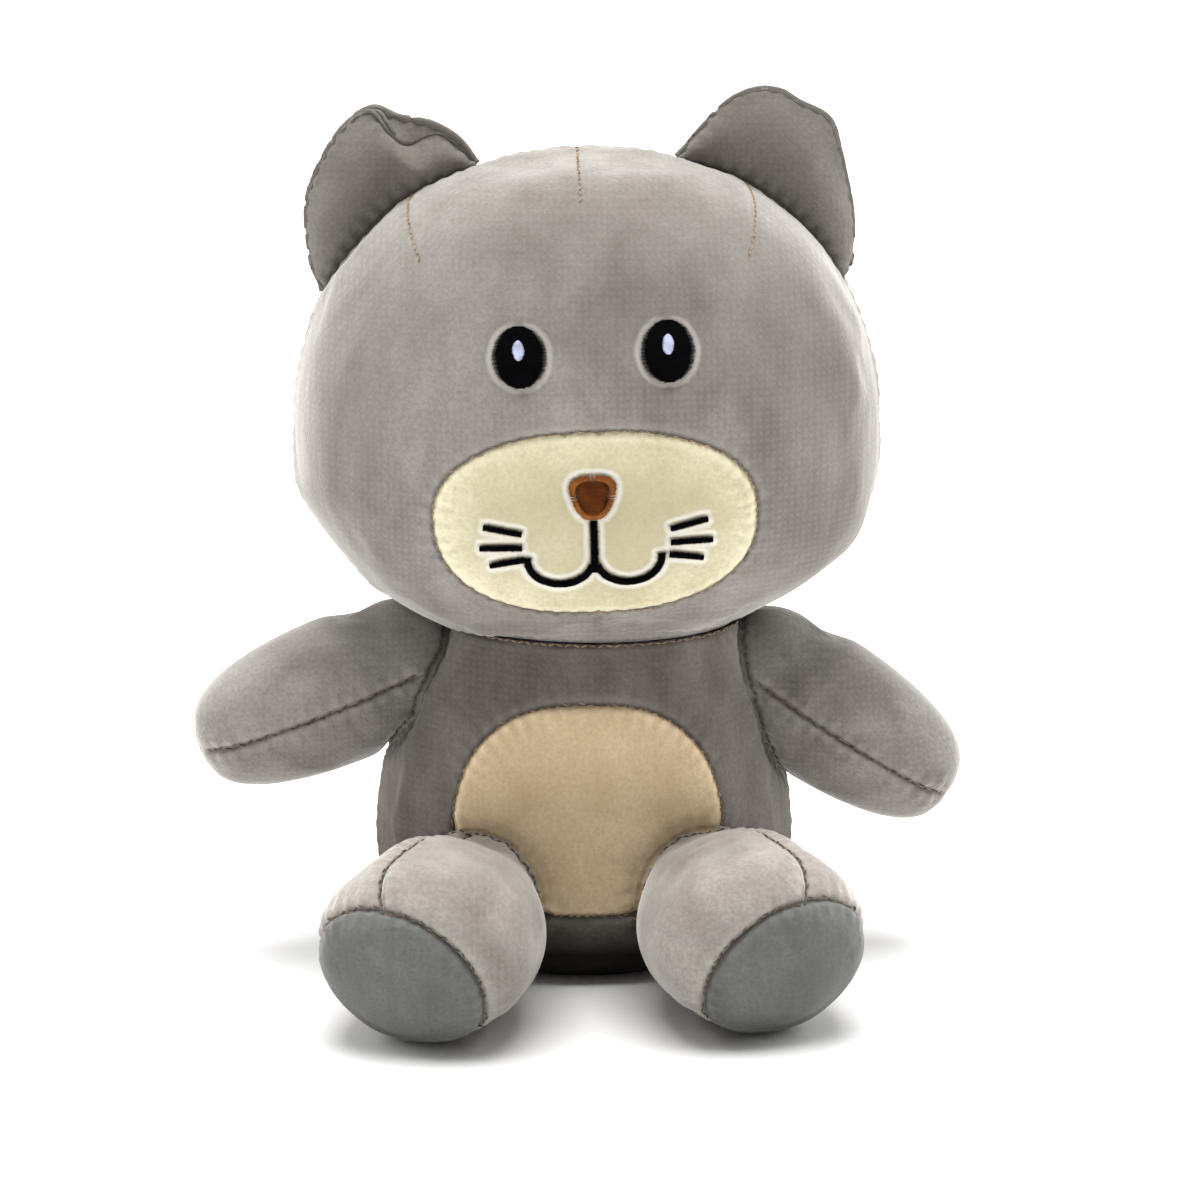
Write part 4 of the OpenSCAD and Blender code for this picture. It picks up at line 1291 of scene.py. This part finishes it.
def times(tree, a, b, kind="MULTIPLY"):
    return node(tree, "ShaderNodeMath", {0: a, 1: b}, operation=kind).outputs[0]


def mix(tree, share, a, b):
    return node(tree, "ShaderNodeMix", {0: share, 6: a, 7: b}, data_type="RGBA").outputs[2]


def noise(tree, where, scale, detail, rough=0.5, distort=0.0):
    made = node(tree, "ShaderNodeTexNoise", {
        "Vector": where, "Scale": scale, "Detail": detail, "Roughness": rough, "Distortion": distort})
    return made.outputs[0]


def bands(tree, where, scale, way, distort, detail_scale=1.0):
    return node(tree, "ShaderNodeTexWave", {
        "Vector": where, "Scale": scale, "Distortion": distort, "Detail Scale": detail_scale},
        bands_direction=way).outputs["Fac"]


def bump(tree, height, strength, distance, **under):
    return node(tree, "ShaderNodeBump", {
        "Height": height, "Strength": strength, "Distance": distance * MM, **under}).outputs[0]


def tint(colour, k):
    return tuple(min(1, c * k) for c in colour)


def velboa(name, deep, pale, rib=0.5, nap=(1, 1, 1), sheen=0.55, sheen_tint=(1, 0.97, 0.93),
           shade_below=None, middle=(6, 38, 0.3)):
    """Short-pile fabric. deep and pale are its colours in the hollow and on the stroked pile.

    shade_below gives the heights of the painted shade low down, near the floor: where the pile starts to
    darken downwards, and where it is darkest. middle gives the painted shade that deepens the pile away
    from the seams, towards the middle of a panel: from and to in millimetres, and by how much."""
    material, tree, where = new_material(name)
    stroked = node(tree, "ShaderNodeMapping", {0: where, "Scale": nap}).outputs[0]
    stroke, patch = noise(tree, stroked, 17, 3, 0.55), noise(tree, stroked, 75, 3, 0.6)
    speck, hair = noise(tree, where, 900, 2, 0.7), noise(tree, where, 2300, 1)
    knit = times(tree, bands(tree, where, 175, "Z", 1.2, 3.0), bands(tree, where, 175, "X", 1.2, 3.0))
    seam, parted = (node(tree, "ShaderNodeAttribute", attribute_name=key).outputs["Fac"]
                    for key in ("seam_mm", "parted_mm"))
    stroke_shade = ramp(tree, stroke, 0.32, 0.68, 0.0, 0.75)
    patch_shade = ramp(tree, patch, 0.3, 0.7, -0.1, 0.45)
    flare = times(tree, ramp(tree, seam, 0.7, 1.6, 0, 1), ramp(tree, seam, 1.8, 3.6, 1, 0))
    ring = times(tree, ramp(tree, parted, 0.2, 0.7, 0, 1), ramp(tree, parted, 1.1, 2.0, 1, 0))
    ring = times(tree, ring, times(tree, parted, 0.0001, "GREATER_THAN"))
    colour = mix(tree, times(tree, stroke_shade, patch_shade, "ADD"), deep, pale)
    # In turn over the base colour: fibre-end speckle, knit ribs, painted shade across the middle of a panel,
    # pale flared pile beside a seam, painted shade in the seam's groove, pale parted pile round the
    # embroidery.
    for share, towards in (
            (ramp(tree, speck, 0.35, 0.65, 0.0, 0.3), tint(deep, 0.62)),
            (times(tree, knit, 0.22 * rib), pale),
            (ramp(tree, seam, middle[0], middle[1], 0, middle[2]), tint(deep, 0.8)),
            (times(tree, flare, 0.35), pale),
            (ramp(tree, seam, 0.25, 1.1, 0.62, 0), tint(deep, 0.42)),
            (times(tree, ring, 0.45), tint(pale, 1.9))):
        colour = mix(tree, share, colour, towards)
    sheen_part = ramp(tree, stroke, 0.35, 0.65, 0.7 * sheen, 1.3 * sheen)
    # Painted shade near the floor: below the given heights the pile darkens to near black and loses its
    # sheen.
    if shade_below:
        high, low = (h * MM for h in shade_below)
        height_z = node(tree, "ShaderNodeSeparateXYZ", {0: where}).outputs["Z"]
        colour = mix(tree, ramp(tree, height_z, low, high, 1, 0), colour, (0.012, 0.011, 0.009))
        sheen_part = times(tree, sheen_part, ramp(tree, height_z, low, high + 30 * MM, 0, 1))
    fibre_ends = times(tree, times(tree, speck, 0.5), times(tree, hair, 0.5), "ADD")
    height = times(tree, fibre_ends, times(tree, knit, 0.25 * rib), "ADD")
    fine = bump(tree, height, 0.55, 0.35)
    set_shader(tree, {
        "Base Color": colour, "Roughness": 0.92, "Specular IOR Level": 0.1, "Sheen Weight": sheen_part,
        "Sheen Roughness": 0.38, "Sheen Tint": sheen_tint,
        "Normal": bump(tree, patch, 0.35, 1.2, Normal=fine)})
    return material


def satin_thread(name, colour, rough=0.45, gloss=0.2):
    """Twisted thread: fine bands across, and a soft shine."""
    material, tree, where = new_material(name)
    fine, broad = noise(tree, where, 2600, 2), noise(tree, where, 260, 2)
    twist = mix(tree, ramp(tree, fine, 0.35, 0.65, 0, 1), tint(colour, 0.6), colour)
    set_shader(tree, {
        "Base Color": mix(tree, ramp(tree, broad, 0.35, 0.65, 0, 1), twist, tint(colour, 1.35)),
        "Roughness": rough, "Specular IOR Level": gloss, "Normal": bump(tree, fine, 0.4, 0.1)})
    return material


def fibre_fill():
    material, tree, where = new_material("fibre_fill")
    tuft = noise(tree, where, 120, 6, 0.7, 1.5)
    set_shader(tree, {
        "Base Color": mix(tree, ramp(tree, tuft, 0.3, 0.7, 0, 1), (0.62, 0.61, 0.58), (0.9, 0.9, 0.88)),
        "Roughness": 0.95, "Sheen Weight": 0.4, "Normal": bump(tree, tuft, 0.8, 1.5)})
    return material


def plain_weave(name, light, dark, scale=520):
    material, tree, where = new_material(name)
    cross = times(tree, bands(tree, where, scale / 2, "X", 0.6), bands(tree, where, scale / 2, "Z", 0.6))
    set_shader(tree, {"Base Color": mix(tree, cross, dark, light), "Roughness": 0.6,
                      "Normal": bump(tree, cross, 0.4, 0.2)})
    return material


def bead_plastic():
    material, tree, where = new_material("bead_plastic")
    cloud = ramp(tree, noise(tree, where, 300, 2), 0.3, 0.7, 0, 1)
    colour = mix(tree, cloud, (0.55, 0.6, 0.68), (0.78, 0.8, 0.84))
    set_shader(tree, {"Base Color": colour, "Roughness": 0.35})
    return material


# %% The finishes of this cat
# Each finish's middle setting paints shade across the middle of its panels; the cream of the muzzle has the
# most.
taupe = velboa("taupe_pile", (0.15, 0.135, 0.116), (0.335, 0.314, 0.286), 0.9, (1, 1, 0.6), 0.7,
               middle=(6, 40, 0.4))
# The torso's pile is a darker copy of the taupe: partly its nap, partly painted shade under the head; low
# down it also takes painted shade near the floor.
torso_pile = velboa("torso_pile", (0.105, 0.091, 0.076), (0.22, 0.2, 0.178), 0.8, (1, 1, 0.6), 0.28,
                    shade_below=(24, 9))
# The arms' and legs' piles are copies of the same taupe with tones set for the light on them, as painted
# light and shade: the arms with a darker hollow, the legs lighter on the whole.
arm_pile = velboa("arm_pile", (0.13, 0.117, 0.1), (0.34, 0.318, 0.288), 0.8, (0.6, 1, 1), 0.8)
leg_pile = velboa("leg_pile", (0.19, 0.171, 0.148), (0.42, 0.39, 0.352), 0.6, (1, 0.6, 1), 0.8)
sole_pile = velboa("sole_pile", (0.115, 0.115, 0.106), (0.19, 0.19, 0.178), 0.5, (1.6, 1, 0.5), 0.3)
# The ears' pile is a darker copy of the taupe: partly their nap, partly painted shade.
ear_pile = velboa("ear_pile", (0.12, 0.108, 0.092), (0.2, 0.185, 0.165), 0.8, sheen=0.3)
cream = velboa("cream_pile", (0.52, 0.46, 0.29), (0.82, 0.76, 0.56), 0.2, sheen=0.85,
               sheen_tint=(1, 1, 0.95), middle=(3, 16, 0.6))
peach = velboa("peach_pile", (0.62, 0.47, 0.285), (0.84, 0.68, 0.46), 0.2, sheen=0.3,
               sheen_tint=(1, 0.96, 0.88), middle=(3, 20, 0.25))
thread_finish = {
    "black_thread": satin_thread("black_satin", (0.001, 0.001, 0.0014), 0.6, 0.02),
    "brown_thread": satin_thread("brown_satin", (0.19, 0.062, 0.012), 0.5, 0.12),
    "dark_brown_thread": satin_thread("dark_brown_satin", (0.085, 0.022, 0.003), 0.5, 0.08),
    "pale_thread": satin_thread("pale_satin", (0.42, 0.45, 0.6)),
}
seam_thread = satin_thread("seam_thread", (0.12, 0.088, 0.06), 0.7, 0.1)
tan_thread = satin_thread("tan_seam_thread", (0.27, 0.19, 0.12), 0.7, 0.1)
fibre = fibre_fill()
bag_cloth = plain_weave("bag_weave", (0.8, 0.77, 0.7), (0.55, 0.52, 0.46))
label_satin = plain_weave("label_weave", (0.66, 0.66, 0.65), (0.45, 0.45, 0.44), 900)
beads = bead_plastic()


# %% [markdown]
# ## Sewing it up
#
# Every piece now gets its finish, and the CAD node that it stands for is hidden. Some pieces are
# parented to the body that they move with; the skins that cross a joint keep their places, and nothing
# bends between the bodies.

# %% Finish and fasten a piece
def dress(piece, material, slot_name, *nodes):
    piece.data.materials.clear()
    piece.data.materials.append(material)
    if nodes:
        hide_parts(*nodes)


def along(name, from_mm, to_mm):
    """Two points on a limb's axis, that far from its root."""
    matrix = limb_place[name]
    return [tuple(matrix @ Vector((d * MM, 0, 0))) for d in (from_mm, to_mm)]


def bend(piece, body, start, end):
    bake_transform(piece)


def bend_at_neck(piece):
    """Pieces that reach the top of the torso keep their places; the others are parented to the torso."""
    if points_of(piece.data)[:, 2].max() > NECK_TOP - 7 * MM:
        bend(piece, "neck", (neck_mid[0], 0, NECK_TOP - 9 * MM), (neck_mid[0], 0, NECK_TOP - 0.8 * MM))
    else:
        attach(piece, "torso")


neck_bend = ((neck_mid[0], 0, NECK_TOP + 2.5 * MM), (neck_mid[0], 0, NECK_TOP + 18 * MM))
patches = {"muzzle_skin": (cream, "cream_velboa", "muzzle_patch"),
           "belly_skin": (peach, "peach_velboa", "belly_patch")}
for pieces, pile, fill in ((head_pieces, taupe, 0.9), (torso_pieces, torso_pile, 0.85)):
    patch_name, *panel_names = pieces
    for name in (*panel_names, patch_name):
        piece = pieces[name]
        thicken(piece)
        dress(piece, *patches.get(name, (pile, "taupe_velboa", name.replace("_skin", "_panel"))))
        if pieces is head_pieces:
            bend(piece, "head", *neck_bend)
        else:
            bend_at_neck(piece)
thicken(seat)
dress(seat, torso_pile, "taupe_velboa", "base_panel")
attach(seat, "torso")

# %% Limbs and ears
limb_reach = {"arm": (0, 20), "leg": (2, 24), "tail": (1, 16)}
limb_bend = {limb: limb_reach[limb.split("_")[-1]] for limb in limb_pieces}
limb_pile = {"arm": arm_pile, "leg": leg_pile, "tail": torso_pile}
for limb, pieces in limb_pieces.items():
    for name, piece in pieces.items():
        thicken(piece)
        cad_node = name.replace("_leg_sole_skin", "_sole").replace("_skin", "_panel")
        if "sole" in name:
            dress(piece, sole_pile, "grey_velboa", cad_node)
        else:
            dress(piece, limb_pile[limb.split("_")[-1]], "taupe_velboa", cad_node)
        bend(piece, limb, *along(limb, *limb_bend[limb]))
for name, piece in ear_pieces.items():
    side_name = name.split("_")[0]
    grid = ear_grids[f"{side_name}_ear_front_skin"]
    foot, rim = grid[3, EAR_COLUMNS // 2] * [1, 0, 1], grid[33, EAR_COLUMNS // 2] * [1, 0, 1]
    thicken(piece)
    dress(piece, ear_pile, "taupe_velboa", name.replace("_skin", "_panel"))
    bend(piece, f"{side_name}_ear", tuple(foot), tuple(foot + (rim - foot) * 0.35))

# %% Stitches, embroidery and what is inside
def bend_or_ride(piece, body):
    """Keeps a piece of the head or of a limb in its place, and parents any other piece to its body."""
    if body == "head":
        bend(piece, "head", *neck_bend)
    elif body in limb_bend:
        bend(piece, body, *along(body, *limb_bend[body]))
    else:
        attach(piece, body)


for name, (piece, owner) in stitches.items():
    dress(piece, seam_thread if owner in limb_bend else tan_thread, "brown_thread")
    if owner == "torso":
        bend_at_neck(piece)
    else:
        bend_or_ride(piece, owner)
for name, (piece, cad_node, slot_name) in embroidery.items():
    dress(piece, thread_finish[slot_name], slot_name, cad_node)
    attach(piece, "head")
for owner, piece in fillings.items():
    dress(piece, fibre, "fibre_filling", f"{owner}_stuffing")
    bend_or_ride(piece, owner)
dress(bag, bag_cloth, "bag_cloth", "pellet_bag")
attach(bag, "torso")
dress(label, label_satin, "label_satin", "sewn_in_label")
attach(label, "torso")
for material_slot in frame["nodes"]["bean_pellets"].material_slots:
    material_slot.material = beads


# %% [markdown]
# ## Studio
#
# A white table and large soft lights at both sides and above, so that the pile's edges glow and the front
# below the chin stays darker. The table itself glows as painted light, from a little way out from the cat
# to far off, so that it reads white all round and only the shadow close under the cat stays.

# %% Floor and lights
bpy.ops.mesh.primitive_plane_add(size=40, location=(0, 0, -0.05 * MM))
floor = bpy.context.object
floor.name = "floor"
white, tree, where = new_material("white_table")
# Painted glow of the table: none close to the cat, rising further out, and sooner to the sides than in front,
# which lights away the arms' side shadows.
stretched = node(tree, "ShaderNodeMapping", {0: where, "Scale": (1.7, 1, 1), "Location": (0, 0.07, 0)})
painted_glow_distance = node(tree, "ShaderNodeVectorMath", {0: stretched.outputs[0]}, operation="LENGTH").outputs["Value"]
set_shader(tree, {"Base Color": (0.86, 0.86, 0.855), "Roughness": 0.8, "Emission Color": (1, 1, 1),
                  "Emission Strength": ramp(tree, painted_glow_distance, 0.12, 0.38, 0.0, 0.9)})
floor.data.materials.append(white)
world = bpy.data.worlds.new("studio")
world.use_nodes = True
sky = world.node_tree
from_where = node(sky, "ShaderNodeSeparateXYZ", {0: node(sky, "ShaderNodeTexCoord").outputs["Generated"]})
tent = ramp(sky, from_where.outputs["Y"], -0.5, 0.4, 0.22, 0.95)
horizon = ramp(sky, from_where.outputs["Z"], 0.03, 0.1, 1.0, 0.0)
sky.links.new(times(sky, tent, horizon, "MAXIMUM"), sky.nodes["Background"].inputs[1])
sky.nodes["Background"].inputs[0].default_value = (1, 1, 1, 1)
bpy.context.scene.world = world


def soft_light(name, spot, size, watts):
    data = bpy.data.lights.new(name, "AREA")
    data.shape = "RECTANGLE"
    data.size, data.size_y = size
    data.energy = watts
    light = bpy.data.objects.new(name, data)
    light.location = spot
    light.rotation_euler = (Vector((0, 0, 0.12)) - Vector(spot)).to_track_quat("-Z", "Y").to_euler()
    bpy.context.scene.collection.objects.link(light)


soft_light("overhead", (0, 0.0, 1.25), (1.0, 0.8), 24)
soft_light("left_side", (-1.1, 0.4, 0.65), (0.5, 0.8), 6)
soft_light("right_side", (1.1, 0.4, 0.65), (0.5, 0.8), 6)
bpy.context.scene.view_settings.view_transform = "Standard"
bpy.context.scene.view_settings.look = "None"
